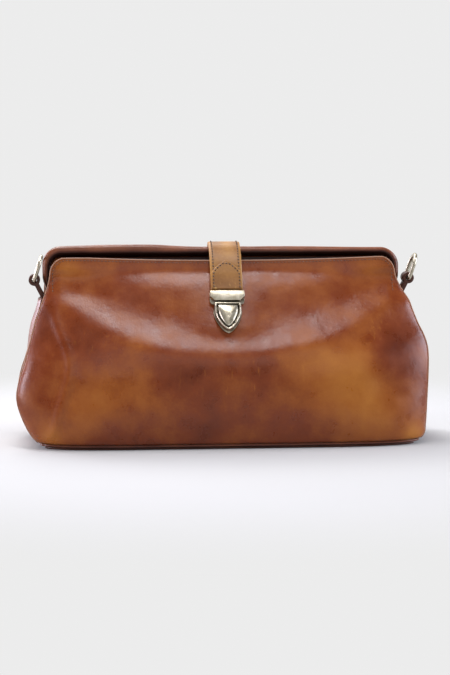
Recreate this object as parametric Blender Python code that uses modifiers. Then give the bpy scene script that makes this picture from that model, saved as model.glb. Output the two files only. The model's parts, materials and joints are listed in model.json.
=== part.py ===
"""A hinged-frame leather bag with a centre strap, a push lock and two side rings for a sling.

Every physical piece is one named object. X runs to the right, the front faces -Y, Z is up from
the floor, and the origin is under the middle of the bag. Dimensions are in millimetres and are
turned into metres when the meshes are made.
"""
import math

import bmesh
import bpy
from mathutils import Matrix, Vector

MM = 0.001
GAP = 0.3                       # between pieces that touch

# The jaws, their hinge and the ring tabs are mirrored about this plane.
JAW_CENTRE_X = 1.0
HINGE_Z = 100.0
HINGE_HOLE = 2.3
HINGE_PIN = 2.0
HINGE_EYE = 5.0
RIVET_HEAD = 3.6
RIVET_STACK = (111.6, 113.1, 118.7, 119.8)   # inner head, shaft and outer head, out from the centre
WASHER_RADIUS = 3.8
WASHER_FACES = (115.35, 115.75)

# Body outline against height: (height, value).
LEFT_WIDTH = ((0, 121), (8, 129.5), (20, 135.8), (33, 139.4), (45, 137.8), (56, 134.2), (81, 127.3),
              (94, 122.8), (102, 121))
RIGHT_WIDTH = ((0, 129.5), (6, 136), (14, 137.3), (30, 138.2), (50, 139.3), (60, 139.6), (67, 139),
               (74, 136.8), (81, 133.5), (92, 129.6), (102, 127))
FRONT_DEPTH = ((0, 44.5), (6, 47.5), (18, 49.7), (34, 50), (50, 48.6), (64, 44.2), (78, 36.5),
               (92, 27.7), (105, 19.5), (112, 14.6), (118, 11), (125, 9))
BACK_DEPTH = ((0, 44.5), (6, 47.5), (18, 49.7), (34, 50), (50, 48.6), (64, 44.2), (78, 36.5),
              (92, 28.2), (105, 20.8), (112, 16.2), (118, 12.8), (127, 10.4))
FRONT_SEAM = ((0, 31), (30, 30), (56, 27), (81, 19), (94, 14.2), (102, 10.6), (112, 9.6), (125, 9))
BACK_SEAM = ((0, 31), (30, 30), (56, 27), (81, 19), (94, 14.2), (102, 11.2), (112, 10.4), (127, 10.4))
LEFT_BULGE = ((0, -1), (30, -2.5), (56, -0.5), (78, 2.6), (97, 3.4), (102, 3.4))
RIGHT_BULGE = ((0, -1), (30, -2.5), (60, -1), (78, 0.4), (97, -1.4), (102, -1.4))
SIDE_POWER = 3.2                # how square the panels are, seen from above
BASE_POWER = 6.5                # squarer at the base
SQUARE_TO = 45.0                # height where that has worn off
FACE_POWER = 1.5

LEATHER = 1.8
SEAM_LAP = 2.1                  # how far the panels' edges lap over the gussets' ends
LINING = 0.7
LINING_INSET = 3.1
LINING_TOP = 92.0
BASE_THICKNESS = 1.6
WELT_RADIUS = 0.7
WELT_Z = 2.7
BOARD_INSET = 4.5
BOARD_BOTTOM = 1.9
BOARD_TOP = 3.4
PANEL_BOTTOM = 3.8
PANEL_TOP = 93.5
GUSSET_SHORT = 1.0              # how far the gussets' top corners stop below the panels'
GUSSET_RISE = 5.0               # and how far their middle rises from there
FOLD_HEIGHTS = (94.05, 95.6, 97.3, 99, 100.7)    # the soft stretch that folds as the jaws open
JAW_LEATHER_BOTTOM = 101.0
FLARE_TOP = 116.0               # the leather is as narrow as the jaw from here up

# Front jaw: a flat steel band between the outer leather and a facing strip.
FRONT_JAW_TOP = 125.0
FRONT_JAW_HALF = 117.7
FRONT_JAW_CORNER = 11.0
FRONT_FRAME_HALF = 115.0
FRONT_FRAME_TOP = 123.2
FRONT_FRAME_CORNER = 9.5
FRONT_FRAME_BAND = 1.5
FRONT_FRAME_Y = (-6.7, -2.2)
FRONT_EYE = (113.4, 115.1)
FRONT_FACING_Y = (-1.9, -0.7)
FACING_WIDTH = 9.0
FACING_BOTTOM = 106.5

# Back jaw: a steel rod inside a round leather rim that stands over and around the front jaw.
RIM_Y = 5.0
RIM_TOP = 129.5
RIM_HALF = 119.9
RIM_CORNER = 10.0
RIM_RADIUS = 3.0
ROD_RADIUS = 2.0
RIM_LEG_END = 104.0
RIM_LEG_HALF = 117.4
RIM_LEG_KNEE = 112.0
COVER_END = 107.2
BACK_EYE = (116.0, 118.4)
BACK_BAR_Y = (0.5, 6.4)
BACK_BAR_TOP = 106.6
BACK_FACING_HALF = 114.4
BACK_FACING_TOP = 125.2
BACK_FACING_CORNER = 6.0
BACK_FACING_Y = (5.0, 6.2)
BACK_JAW_TOP = 127.0
BACK_JAW_HALF = 121.3

# Ring tabs and rings.
TAB_HALF_WIDTH = 5.0
TAB_THICKNESS = 2.8
TAB_BOTTOM = 92.5
TAB_BEND = 98.0
TAB_CENTRE = 121.9
ROLL_CENTRE = (128.3, 110.8)
ROLL_RADIUS = 3.9
ROLL_HOLE = 1.8
RING_WIRE = 1.4
RING_HALF_WIDTH = 7.65
RING_HEIGHT = 16.4
RING_CORNER = 2.2               # where the bow bends into the straight bar
LEFT_RING_LEAN = 17.0           # degrees toward +X
RIGHT_RING_LEAN = 19.0

# Strap: points on its inner surface, from the tail behind the bag over the rim to the hasp.
STRAP_CENTRE_X = 2.0
STRAP_HALF_WIDTH = 10.7
STRAP_PATH = ((22.6, 103.4), (17.6, 112), (13.6, 118.9), (11.2, 124.6), (10.1, 128.8), (7.9, 132),
              (4.4, 133.1), (0.6, 132.4), (-4.9, 129.7), (-10.8, 124), (-15.4, 116.4), (-18.9, 109.6),
              (-21.9, 104.1), (-24.3, 100.25), (-26.7, 96.4))
STRAP_BACKING = 1.0
STRAP_LEATHER = 1.6
STRAP_OVERLAY = 0.9
STRAP_THICKNESS = STRAP_BACKING + GAP + STRAP_LEATHER
REAR_PIVOT_AT = 26.5            # length along the path from the tail
FRONT_PIVOT_AT = 40.5
PIVOT_GAP = 0.3                 # on each side of a pivot
OVERLAY_LENGTH = 21.0
OVERLAY_ARCH = 11.0             # from the overlay's tip to where it is as wide as the strap
OVERLAY_TIP = 0.8               # half width at the tip
LEATHER_SHORT = 2.6             # how far the strap's leather stops short of the path's end
CAP_SHORT = 8.8                 # and how far the hasp cap's top edge does
STRAP_STEP = 1.8                # length of one step of a strap piece's mesh
SLOPE_REACH = 1.0               # half the length over which the strap's slope is taken

# The lock's own frame: X across, Y up the slope of the front, Z out of the leather.
LOCK_Z = 88.5
LOCK_Y = -29.88
LOCK_TILT = math.radians(57.8)
SHIELD_TOP = 7.3
SHIELD_SHOULDER = 1.5
SHIELD_APEX = -13.3
SHIELD_HALF = 8.8
SHIELD_FULLNESS = 1.6           # how long the shield's sides stay wide below the shoulders
SHIELD_ROUNDING = 0.7           # how blunt its point is
PLATE_FACE = (0.3, 1.4)
CASE_FACE = (1.7, 5.3)
CASE_WALL = 1.2
BUTTON_INSET = 2.3
BUTTON_BASE = 4.3
BUTTON_DOME = ((1.0, 0.0), (1.0, 0.7), (0.94, 1.2), (0.8, 1.8), (0.55, 2.3), (0.25, 2.55))  # scale, rise
HASP_HALF = 11.6
HASP_TOP = 15.6
HASP_BOTTOM = 8.4
HASP_CHAMFER = 3.0
HASP_LIP = 0.5                  # the cap's wall below the strap's end
HASP_FACE = (2.8, 5.9)
HASP_SKIN = 1.2
BOLT_HALF = 2.3
BOLT_SPAN = (2.5, 8.9)
BOLT_FACE = (1.7, 2.7)
STAPLE_SPAN = (9.2, 10.2)
LOCK_RIVET = (5.0, 0.0)
HASP_RIVET = (6.5, 13.3)
RIVET_HOLE = 1.3
LOCK_RIVET_RADII = (1.0, 1.8)   # shaft and heads
LOCK_RIVET_LEVELS = (-5.5, -4.8, 1.7, 2.4)
HASP_PIN = 1.0
HASP_PIN_SPAN = (1.7, 4.4)
STAPLE_LEG = 4.2                # half width over the legs
STAPLE_BAR = (1.4, 2.7)         # the underside and top of the bar the bolt slides under
LOCK_BACK_PLATE = ((-8, -5, -4.5), (8, 3.2, -3.7))
HASP_BACK_PLATE = ((-10.4, 11, 1.7), (10.4, 15.4, 2.5))
PLATE_MARGIN = 0.7              # how far the base plate stands out round the shield
PLATE_CORNER = 3.0
PLATE_WIDE_FROM = 10.2          # where the corners under the hasp begin
BUTTON_CENTRE = -1.5
SPRING_CENTRE = -3.5
SPRING_RADIUS = 2.4
SPRING_WIRE = 0.2
SPRING_TURNS = 3


def clear_scene():
    for old in list(bpy.data.objects):
        bpy.data.objects.remove(old, do_unlink=True)


def new_collection(name):
    collection = bpy.data.collections.new(name)
    bpy.context.scene.collection.children.link(collection)
    return collection


def make_material(name, colour, roughness, metallic=0.0):
    material = bpy.data.materials.new(name)
    material.use_nodes = True
    shader = material.node_tree.nodes["Principled BSDF"]
    shader.inputs["Base Color"].default_value = (*colour, 1.0)
    shader.inputs["Roughness"].default_value = roughness
    shader.inputs["Metallic"].default_value = metallic
    material.diffuse_color = (*colour, 1.0)
    return material


clear_scene()
BAG = new_collection("sling_bag")
CUTTERS = new_collection("cutters")

PANEL_BROWN = ((0.25, 0.085, 0.030), 0.38)
EDGE_BROWN = ((0.14, 0.050, 0.025), 0.50)
STRAP_TAN = ((0.42, 0.24, 0.13), 0.45)
LINING_TAN = ((0.30, 0.23, 0.16), 0.85)
BOARD_GREY = ((0.35, 0.32, 0.28), 0.90)
BRASS = ((0.66, 0.61, 0.49), 0.32)
STEEL = ((0.45, 0.45, 0.45), 0.40)


# ---------------------------------------------------------------- tools

def smooth_value(table, at):
    """Value of a smooth curve through the (place, value) pairs of a table."""
    if at <= table[0][0]:
        return float(table[0][1])
    if at >= table[-1][0]:
        return float(table[-1][1])
    index = max(i for i in range(len(table) - 1) if table[i][0] <= at)

    def slope(i):
        low = max(i - 1, 0)
        high = min(i + 1, len(table) - 1)
        return (table[high][1] - table[low][1]) / (table[high][0] - table[low][0])

    (x0, y0), (x1, y1) = table[index], table[index + 1]
    width = x1 - x0
    t = (at - x0) / width
    return ((2 * t**3 - 3 * t**2 + 1) * y0 + (t**3 - 2 * t**2 + t) * width * slope(index)
            + (3 * t**2 - 2 * t**3) * y1 + (t**3 - t**2) * width * slope(index + 1))


def metres(point):
    return Vector(point) * MM


def add_object(name, data, finish=None, collection=None):
    """Links an object and gives it a material of its own."""
    item = bpy.data.objects.new(name, data)
    (collection or BAG).objects.link(item)
    if finish:
        colour, roughness = finish
        metallic = 1.0 if finish in (BRASS, STEEL) else 0.0
        data.materials.append(make_material(name + "_material", colour, roughness, metallic))
    return item


def mesh_from_bmesh(name, work, smooth=False):
    bmesh.ops.recalc_face_normals(work, faces=work.faces)
    mesh = bpy.data.meshes.new(name)
    work.to_mesh(mesh)
    work.free()
    if smooth:
        mesh.shade_smooth()
        mesh.set_sharp_from_angle(angle=math.radians(40))
    return mesh


def loft_mesh(name, rows, closed=False, cap_bottom=False):
    """An open surface through rows of points; rows run upward and the outside faces outward."""
    work = bmesh.new()
    grid = [[work.verts.new(metres(point)) for point in row] for row in rows]
    columns = len(rows[0])
    last = columns if closed else columns - 1
    for lower, upper in zip(grid, grid[1:]):
        for column in range(last):
            after = (column + 1) % columns
            work.faces.new((lower[column], lower[after], upper[after], upper[column]))
    if cap_bottom:
        work.faces.new(list(reversed(grid[0])))
    mesh = bpy.data.meshes.new(name)
    work.to_mesh(mesh)
    work.free()
    mesh.shade_smooth()
    return mesh


def add_solidify(item, thickness):
    """Thickens a surface inward."""
    modifier = item.modifiers.new("thickness", "SOLIDIFY")
    modifier.thickness = thickness * MM
    modifier.offset = -1.0
    modifier.use_even_offset = True
    return modifier


def add_boolean(item, cutter, operation="DIFFERENCE"):
    modifier = item.modifiers.new(cutter.name, "BOOLEAN")
    modifier.operation = operation
    modifier.solver = "EXACT"
    modifier.object = cutter
    return modifier


def as_cutter(item):
    item.hide_render = True
    item.display_type = "WIRE"
    return item


def box_object(name, low, high, finish=None, parent=None, collection=None):
    """A box between two corners given in the parent's frame."""
    work = bmesh.new()
    bmesh.ops.create_cube(work, size=1.0)
    size = [(b - a) * MM for a, b in zip(low, high)]
    bmesh.ops.scale(work, vec=size, verts=work.verts)
    item = add_object(name, mesh_from_bmesh(name, work), finish, collection)
    item.location = metres([(a + b) / 2 for a, b in zip(low, high)])
    item.parent = parent
    return item


def cylinder_object(name, radius, start, end, axis, centre, finish=None, parent=None, collection=None,
                    segments=32):
    """A cylinder between two places on one axis; centre gives the other two coordinates."""
    work = bmesh.new()
    bmesh.ops.create_cone(work, cap_ends=True, segments=segments, radius1=radius * MM,
                          radius2=radius * MM, depth=(end - start) * MM)
    turn = {"X": Matrix.Rotation(math.pi / 2, 4, "Y"), "Y": Matrix.Rotation(math.pi / 2, 4, "X"),
            "Z": Matrix.Identity(4)}[axis]
    bmesh.ops.transform(work, matrix=turn, verts=work.verts)
    item = add_object(name, mesh_from_bmesh(name, work, smooth=True), finish, collection)
    middle = (start + end) / 2
    place = {"X": (middle, *centre), "Y": (centre[0], middle, centre[1]), "Z": (*centre, middle)}[axis]
    item.location = metres(place)
    item.parent = parent
    return item


def plate_curve(name, outlines, thickness):
    """A flat 2D curve, filled, with closed outlines (the second and later ones are holes)."""
    curve = bpy.data.curves.new(name, "CURVE")
    curve.dimensions = "2D"
    curve.fill_mode = "BOTH"
    curve.extrude = thickness / 2 * MM
    for outline in outlines:
        spline = curve.splines.new("POLY")
        spline.points.add(len(outline) - 1)
        for point, (x, y) in zip(spline.points, outline):
            point.co = (x * MM, y * MM, 0.0, 1.0)
        spline.use_cyclic_u = True
    return curve


def wire_curve(name, points, radius, cyclic=False, sides=2):
    """A round wire along a POLY spline, with filled ends."""
    curve = bpy.data.curves.new(name, "CURVE")
    curve.dimensions = "3D"
    curve.bevel_depth = radius * MM
    curve.bevel_resolution = sides
    curve.use_fill_caps = not cyclic
    spline = curve.splines.new("POLY")
    spline.points.add(len(points) - 1)
    for target, point in zip(spline.points, points):
        target.co = (*metres(point), 1.0)
    spline.use_cyclic_u = cyclic
    return curve


def curve_to_mesh(item):
    """Swaps a curve object for a mesh object of the same name, welded, so that it can be cut."""
    name = item.name
    graph = bpy.context.evaluated_depsgraph_get()
    mesh = bpy.data.meshes.new_from_object(item.evaluated_get(graph))
    work = bmesh.new()
    work.from_mesh(mesh)
    bmesh.ops.remove_doubles(work, verts=work.verts, dist=0.00001)
    work.to_mesh(mesh)
    work.free()
    matrix = item.matrix_world.copy()
    collection = item.users_collection[0]
    bpy.data.objects.remove(item, do_unlink=True)
    mesh.name = name
    solid = bpy.data.objects.new(name, mesh)
    collection.objects.link(solid)
    solid.matrix_world = matrix
    return solid


def plate_object(name, outlines, low, high, finish, parent=None, plane="XY", offset=(0, 0)):
    """A flat plate between two levels; plane XZ stands it up, its levels then running along Y."""
    item = add_object(name, plate_curve(name, outlines, high - low), finish)
    middle = (low + high) / 2
    if plane == "XY":
        item.location = metres((*offset, middle))
    else:
        item.rotation_euler = (math.pi / 2, 0, 0)
        item.location = metres((offset[0], middle, offset[1]))
    item.parent = parent
    return item


def solid_plate(*arguments, **options):
    """A plate as a welded mesh, ready for cutting."""
    parent = options.pop("parent", None)
    item = plate_object(*arguments, **options)
    material = item.data.materials[0]
    bpy.context.view_layer.update()
    solid = curve_to_mesh(item)
    solid.data.materials.clear()
    solid.data.materials.append(material)
    solid.parent = parent
    return solid


def turned_object(name, profile, finish, location, axis="X", parent=None, steps=16):
    """A turned piece: (radius, height) points spun about its own axis, put in top-down order."""
    area = sum(a[0] * b[1] - b[0] * a[1] for a, b in zip(profile, profile[1:]))
    if area > 0:
        profile = list(reversed(profile))
    mesh = bpy.data.meshes.new(name)
    points = [(radius * MM, 0.0, height * MM) for radius, height in profile]
    edges = [(i, i + 1) for i in range(len(points) - 1)]
    mesh.from_pydata(points, edges, [])
    item = add_object(name, mesh, finish)
    screw = item.modifiers.new("turn", "SCREW")
    screw.steps = steps
    screw.render_steps = steps
    screw.use_merge_vertices = True
    screw.merge_threshold = 0.00001
    screw.use_normal_calculate = False
    screw.use_smooth_shade = False
    item.location = metres(location)
    if axis == "X":
        item.rotation_euler = (0, math.pi / 2, 0)
    item.parent = parent
    return item


def add_empty(name, location, rotation=(0, 0, 0), parent=None):
    empty = bpy.data.objects.new(name, None)
    empty.empty_display_size = 0.01
    BAG.objects.link(empty)
    empty.location = metres(location)
    empty.rotation_euler = rotation
    empty.parent = parent
    return empty


# ---------------------------------------------------------------- the body's shape

FACE_COLUMNS = 16
GUSSET_COLUMNS = 8
PANEL_ROWS = (PANEL_BOTTOM, 9, 17, 27, 37, 47, 56, 65, 73, 80, 87, PANEL_TOP)


def side_power(height):
    rise = min(height / SQUARE_TO, 1.0)
    return BASE_POWER + (SIDE_POWER - BASE_POWER) * rise * rise * (3 - 2 * rise)


def face_point(turn, height, back=False, inset=0.0, left=None, right=None):
    """A point of the front or back face; turn runs from -90 degrees at the left seam to +90."""
    across = math.copysign(abs(math.sin(turn)) ** (2 / side_power(height)), turn)
    bow = abs(math.cos(turn)) ** (2 / FACE_POWER)
    if left is None:
        left = smooth_value(LEFT_WIDTH, height)
        right = smooth_value(RIGHT_WIDTH, height)
    reach = (right if across > 0 else left) - inset
    seam = smooth_value(BACK_SEAM if back else FRONT_SEAM, height) - inset / 2
    depth = smooth_value(BACK_DEPTH if back else FRONT_DEPTH, height) - inset
    out = seam + (depth - seam) * bow
    return (across * reach, out if back else -out, height)


def face_turns():
    return [math.radians(-90 + 180 * i / FACE_COLUMNS) for i in range(FACE_COLUMNS + 1)]


def face_row(height, back=False, inset=0.0, left=None, right=None):
    """A row of a face, laid so that the outside of the leather faces outward."""
    row = [face_point(turn, height, back, inset, left, right) for turn in face_turns()]
    return list(reversed(row)) if back else row


def gusset_point(place, height, side, inset=0.0):
    """A point of a gusset; place runs from -1 at the front seam to +1 at the back seam."""
    width = smooth_value(RIGHT_WIDTH if side > 0 else LEFT_WIDTH, height) - inset
    bulge = smooth_value(RIGHT_BULGE if side > 0 else LEFT_BULGE, height) * (1 - place * place)
    seam = smooth_value(FRONT_SEAM if place < 0 else BACK_SEAM, height) - inset / 2
    return (side * (width + bulge), place * seam, height)


def section_loop(height, inset=0.0):
    """The whole outline at one height, counter-clockwise seen from above."""
    loop = face_row(height, inset=inset)
    places = [-1 + 2 * i / GUSSET_COLUMNS for i in range(1, GUSSET_COLUMNS)]
    loop += [gusset_point(place, height, 1, inset) for place in places]
    loop += face_row(height, back=True, inset=inset)
    loop += [gusset_point(-place, height, -1, inset) for place in places]
    return loop


def gusset_top(place):
    return PANEL_TOP - GUSSET_SHORT + GUSSET_RISE * (1 - place * place) ** 2


# ---------------------------------------------------------------- body pieces

def build_base():
    outline = [(x, y) for x, y, _ in section_loop(0.0)]
    plate_object("base_panel", [outline], 0.0, BASE_THICKNESS, EDGE_BROWN)
    board = [(x, y) for x, y, _ in section_loop(WELT_Z, BOARD_INSET)]
    plate_object("base_board", [board], BOARD_BOTTOM, BOARD_TOP, BOARD_GREY)
    welt = [(x, y, WELT_Z) for x, y, _ in section_loop(WELT_Z, WELT_RADIUS + 0.2)]
    add_object("base_welt", wire_curve("base_welt", welt, WELT_RADIUS, cyclic=True, sides=2), EDGE_BROWN)


def build_panels():
    for name, back in (("front_panel", False), ("back_panel", True)):
        rows = [face_row(height, back) for height in PANEL_ROWS]
        panel = add_object(name, loft_mesh(name, rows), PANEL_BROWN)
        add_solidify(panel, LEATHER)
    steps = len(PANEL_ROWS) - 1
    for name, side in (("left_gusset", -1), ("right_gusset", 1)):
        places = [side * (-1 + 2 * i / GUSSET_COLUMNS) for i in range(GUSSET_COLUMNS + 1)]
        rows = []
        for step in range(steps + 1):
            share = step / steps
            row = []
            for place in places:
                height = PANEL_BOTTOM + (gusset_top(place) - PANEL_BOTTOM) * share
                inside = 1 - SEAM_LAP / smooth_value(FRONT_SEAM, height)
                row.append(gusset_point(place * inside, height, side))
            rows.append(row)
        gusset = add_object(name, loft_mesh(name, rows), PANEL_BROWN)
        add_solidify(gusset, LEATHER)


def flared_reaches(height, half):
    """Left and right half widths where the body's width runs smoothly into the jaw's."""
    low = FOLD_HEIGHTS[0]
    rise = min(max((height - low) / (FLARE_TOP - low), 0.0), 1.0)
    share = rise * rise * (3 - 2 * rise)
    left = smooth_value(LEFT_WIDTH, height) * (1 - share) + (half - JAW_CENTRE_X) * share
    right = smooth_value(RIGHT_WIDTH, height) * (1 - share) + (half + JAW_CENTRE_X) * share
    return left, right


def build_folds():
    for name, back, top_half in (("front_fold", False, FRONT_JAW_HALF), ("back_fold", True, BACK_JAW_HALF)):
        rows = []
        for height in FOLD_HEIGHTS:
            left, right = flared_reaches(height, top_half)
            rows.append(face_row(height, back, left=left, right=right))
        fold = add_object(name, loft_mesh(name, rows), PANEL_BROWN)
        add_solidify(fold, LEATHER)


def build_lining():
    rows = [section_loop(height, LINING_INSET) for height in PANEL_ROWS[:-1:2] + (LINING_TOP,)]
    rows[0] = [(x, y, PANEL_BOTTOM + GAP) for x, y, _ in rows[0]]
    lining = add_object("lining", loft_mesh("lining", rows, closed=True, cap_bottom=True), LINING_TAN)
    add_solidify(lining, LINING)


# ---------------------------------------------------------------- jaws

def jaw_reach(height, half, top, corner):
    """Half width of a jaw's rounded outline at a height."""
    rise = height - (top - corner)
    if rise <= 0:
        return half
    return half - corner + math.sqrt(max(corner * corner - rise * rise, 0.0))


def u_outline(half, top, corner, width, bottom, steps=6):
    """A band bent into an upturned U: its outer line and back along its inner line."""
    def line(half_width, level, radius):
        points = [(half_width, bottom)]
        for i in range(steps + 1):
            turn = math.pi / 2 * i / steps
            points.append((half_width - radius + radius * math.cos(turn),
                           level - radius + radius * math.sin(turn)))
        return points + [(-x, z) for x, z in reversed(points)]

    outer = line(half, top, corner)
    inner = line(half - width, top - width, max(corner - width, 1.0))
    return outer + list(reversed(inner))


def jaw_leather(name, back, heights, half, top, corner):
    rows = []
    for height in heights:
        left, right = flared_reaches(height, jaw_reach(height, half, top, corner))
        rows.append(face_row(height, back, left=left, right=right))
    leather = add_object(name, loft_mesh(name, rows), PANEL_BROWN)
    add_solidify(leather, LEATHER)
    return leather


def hinge_x(side, distance):
    return JAW_CENTRE_X + side * distance


def drill_frame(frame, eye, bar=None):
    """Adds an eye (and a flat bar down to it) at each foot of a frame, then drills the eyes."""
    cutters = []
    for side, tag in ((-1, "left"), (1, "right")):
        start, end = sorted(hinge_x(side, distance) for distance in eye)
        name = f"{frame.name}_{tag}"
        disc = cylinder_object(name + "_eye", HINGE_EYE, start, end, "X", (0, HINGE_Z), collection=CUTTERS)
        add_boolean(frame, as_cutter(disc), "UNION")
        if bar:
            block = box_object(name + "_bar", (start + 0.05, bar[0], bar[2]), (end - 0.05, bar[1], bar[3]),
                               collection=CUTTERS)
            add_boolean(frame, as_cutter(block), "UNION")
        drill = cylinder_object(name + "_drill", HINGE_HOLE, start - 4, end + 4, "X", (0, HINGE_Z),
                                collection=CUTTERS)
        cutters.append(as_cutter(drill))
    for drill in cutters:
        add_boolean(frame, drill)


def rim_path(bottom):
    """The centre line of the back rim, from the left foot over the top to the right foot."""
    foot_share = (bottom - RIM_LEG_END) / (RIM_LEG_KNEE - RIM_LEG_END)
    foot = RIM_LEG_HALF + (RIM_HALF - RIM_LEG_HALF) * foot_share
    half = [(foot, bottom), (RIM_HALF, RIM_LEG_KNEE)]
    corner_steps = 6
    for i in range(corner_steps + 1):
        turn = math.pi / 2 * i / corner_steps
        half.append((RIM_HALF - RIM_CORNER + RIM_CORNER * math.cos(turn),
                     RIM_TOP - RIM_CORNER + RIM_CORNER * math.sin(turn)))
    right = [(JAW_CENTRE_X + x, RIM_Y, z) for x, z in half]
    left = [(JAW_CENTRE_X - x, RIM_Y, z) for x, z in half]
    return left + list(reversed(right))


def rim_solid(name, bottom, radius, finish=None, collection=None):
    """A round bar along the rim, as a welded mesh."""
    item = add_object(name, wire_curve(name, rim_path(bottom), radius, sides=3), None, collection)
    bpy.context.view_layer.update()
    solid = curve_to_mesh(item)
    if finish:
        metallic = 1.0 if finish == STEEL else 0.0
        solid.data.materials.append(make_material(name + "_material", *finish, metallic))
    solid.data.shade_smooth()
    return solid


def build_front_jaw(hinge):
    heights = (JAW_LEATHER_BOTTOM, 104, 107, 110, 113, 116, 118, 120, 122, 123.6, 124.6)
    leather = jaw_leather("front_jaw_leather", False, heights, FRONT_JAW_HALF, FRONT_JAW_TOP,
                          FRONT_JAW_CORNER)
    band = u_outline(FRONT_FRAME_HALF, FRONT_FRAME_TOP, FRONT_FRAME_CORNER, FRONT_FRAME_BAND,
                     HINGE_Z - 1.0)
    frame = solid_plate("front_frame", [band], *FRONT_FRAME_Y, STEEL, plane="XZ",
                        offset=(JAW_CENTRE_X, 0))
    drill_frame(frame, FRONT_EYE)
    facing = u_outline(FRONT_FRAME_HALF, FRONT_FRAME_TOP, FRONT_FRAME_CORNER, FACING_WIDTH, FACING_BOTTOM)
    strip = plate_object("front_facing", [facing], *FRONT_FACING_Y, STRAP_TAN, plane="XZ",
                         offset=(JAW_CENTRE_X, 0))
    for item in (leather, frame, strip):
        keep_world(item, hinge)


def build_back_jaw(hinge):
    heights = (JAW_LEATHER_BOTTOM, 104, 107, 110, 113, 116, 119, 122, 124.5, 126, 126.8)
    leather = jaw_leather("back_jaw_leather", True, heights, BACK_JAW_HALF, BACK_JAW_TOP,
                          FRONT_JAW_CORNER)
    rod = rim_solid("back_frame", RIM_LEG_END, ROD_RADIUS, STEEL)
    drill_frame(rod, BACK_EYE, bar=(*BACK_BAR_Y, HINGE_Z - 1, BACK_BAR_TOP))
    cover = rim_solid("back_rim_cover", COVER_END, RIM_RADIUS, PANEL_BROWN)
    bore = rim_solid("rim_bore", COVER_END - 1.0, ROD_RADIUS + GAP, collection=CUTTERS)
    add_boolean(cover, as_cutter(bore))
    facing = u_outline(BACK_FACING_HALF, BACK_FACING_TOP, BACK_FACING_CORNER, FACING_WIDTH, FACING_BOTTOM)
    strip = plate_object("back_facing", [facing], *BACK_FACING_Y, STRAP_TAN, plane="XZ",
                         offset=(JAW_CENTRE_X, 0))
    for item in (leather, rod, cover, strip):
        keep_world(item, hinge)


def keep_world(item, parent):
    """Parents a piece without moving it; the parent sits on the joint's axis."""
    bpy.context.view_layer.update()
    item.parent = parent
    item.matrix_parent_inverse = parent.matrix_world.inverted()


def build_hinges():
    inner, shaft_start, shaft_end, outer = RIVET_STACK
    near, far = WASHER_FACES
    for side, tag in ((-1, "left"), (1, "right")):
        rivet = [(0, inner), (RIVET_HEAD - 0.5, inner), (RIVET_HEAD, inner + 0.5),
                 (RIVET_HEAD, shaft_start), (HINGE_PIN, shaft_start), (HINGE_PIN, shaft_end),
                 (RIVET_HEAD, shaft_end), (RIVET_HEAD, outer - 0.4), (RIVET_HEAD - 0.4, outer),
                 (0, outer)]
        rivet = [(radius, side * distance) for radius, distance in rivet]
        turned_object(f"hinge_rivet_{tag}", rivet, STEEL, (JAW_CENTRE_X, 0, HINGE_Z))
        washer = [(HINGE_HOLE, near), (WASHER_RADIUS, near), (WASHER_RADIUS, far), (HINGE_HOLE, far),
                  (HINGE_HOLE, near)]
        washer = [(radius, side * distance) for radius, distance in washer]
        turned_object(f"hinge_washer_{tag}", washer, STEEL, (JAW_CENTRE_X, 0, HINGE_Z))


# ---------------------------------------------------------------- rings and tabs

def tab_outline(side):
    """Side view of a tab: a doubled strip, bent outward and rolled round the ring's bar."""
    half = TAB_THICKNESS / 2
    lean = math.atan2(ROLL_CENTRE[0] - TAB_CENTRE, ROLL_CENTRE[1] - TAB_BEND)
    along = (math.sin(lean), math.cos(lean))
    reach = math.sqrt(ROLL_RADIUS**2 - half**2)
    foot = math.atan2(-along[1] * reach - along[0] * half, -along[0] * reach + along[1] * half)
    end = math.atan2(-along[1] * reach + along[0] * half, -along[0] * reach - along[1] * half)
    sweep = (end - foot) % (2 * math.pi)
    points = [(TAB_CENTRE - half, TAB_BOTTOM), (TAB_CENTRE + half, TAB_BOTTOM),
              (TAB_CENTRE + half, TAB_BEND - 0.3)]
    steps = 20
    for i in range(steps + 1):
        turn = foot + sweep * i / steps
        points.append((ROLL_CENTRE[0] + ROLL_RADIUS * math.cos(turn),
                       ROLL_CENTRE[1] + ROLL_RADIUS * math.sin(turn)))
    points.append((TAB_CENTRE - half, TAB_BEND + 0.4))
    return [(hinge_x(side, x), z) for x, z in points]


def circle_outline(centre, radius, steps=24):
    return [(centre[0] + radius * math.cos(2 * math.pi * i / steps),
             centre[1] + radius * math.sin(2 * math.pi * i / steps)) for i in range(steps)]


def ring_points(lean):
    """The ring's centre line: a straight bar along Y and a round bow, leaning toward +X."""
    corner = RING_CORNER
    arch = RING_HALF_WIDTH
    points = []
    for i in range(5):
        turn = math.pi / 2 * i / 4
        points.append((arch - corner + corner * math.sin(turn), corner - corner * math.cos(turn)))
    for i in range(13):
        turn = math.pi * i / 12
        points.append((arch * math.cos(turn), RING_HEIGHT - arch + arch * math.sin(turn)))
    for i in range(5):
        turn = math.pi / 2 * (4 - i) / 4
        points.append((-arch + corner - corner * math.sin(turn), corner - corner * math.cos(turn)))
    return [(up * math.sin(lean), across, up * math.cos(lean)) for across, up in points]


def build_ring(side, tag, lean):
    hole = circle_outline((hinge_x(side, ROLL_CENTRE[0]), ROLL_CENTRE[1]), ROLL_HOLE)
    plate_object(f"{tag}_ring_tab", [tab_outline(side), hole], -TAB_HALF_WIDTH, TAB_HALF_WIDTH,
                 EDGE_BROWN, plane="XZ")
    pivot = add_empty(f"{tag}_ring_pivot", (hinge_x(side, ROLL_CENTRE[0]), 0, ROLL_CENTRE[1]))
    wire = wire_curve(f"{tag}_ring", ring_points(math.radians(lean)), RING_WIRE, cyclic=True, sides=3)
    ring = add_object(f"{tag}_ring", wire, BRASS)
    ring.parent = pivot


# ---------------------------------------------------------------- strap

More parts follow.
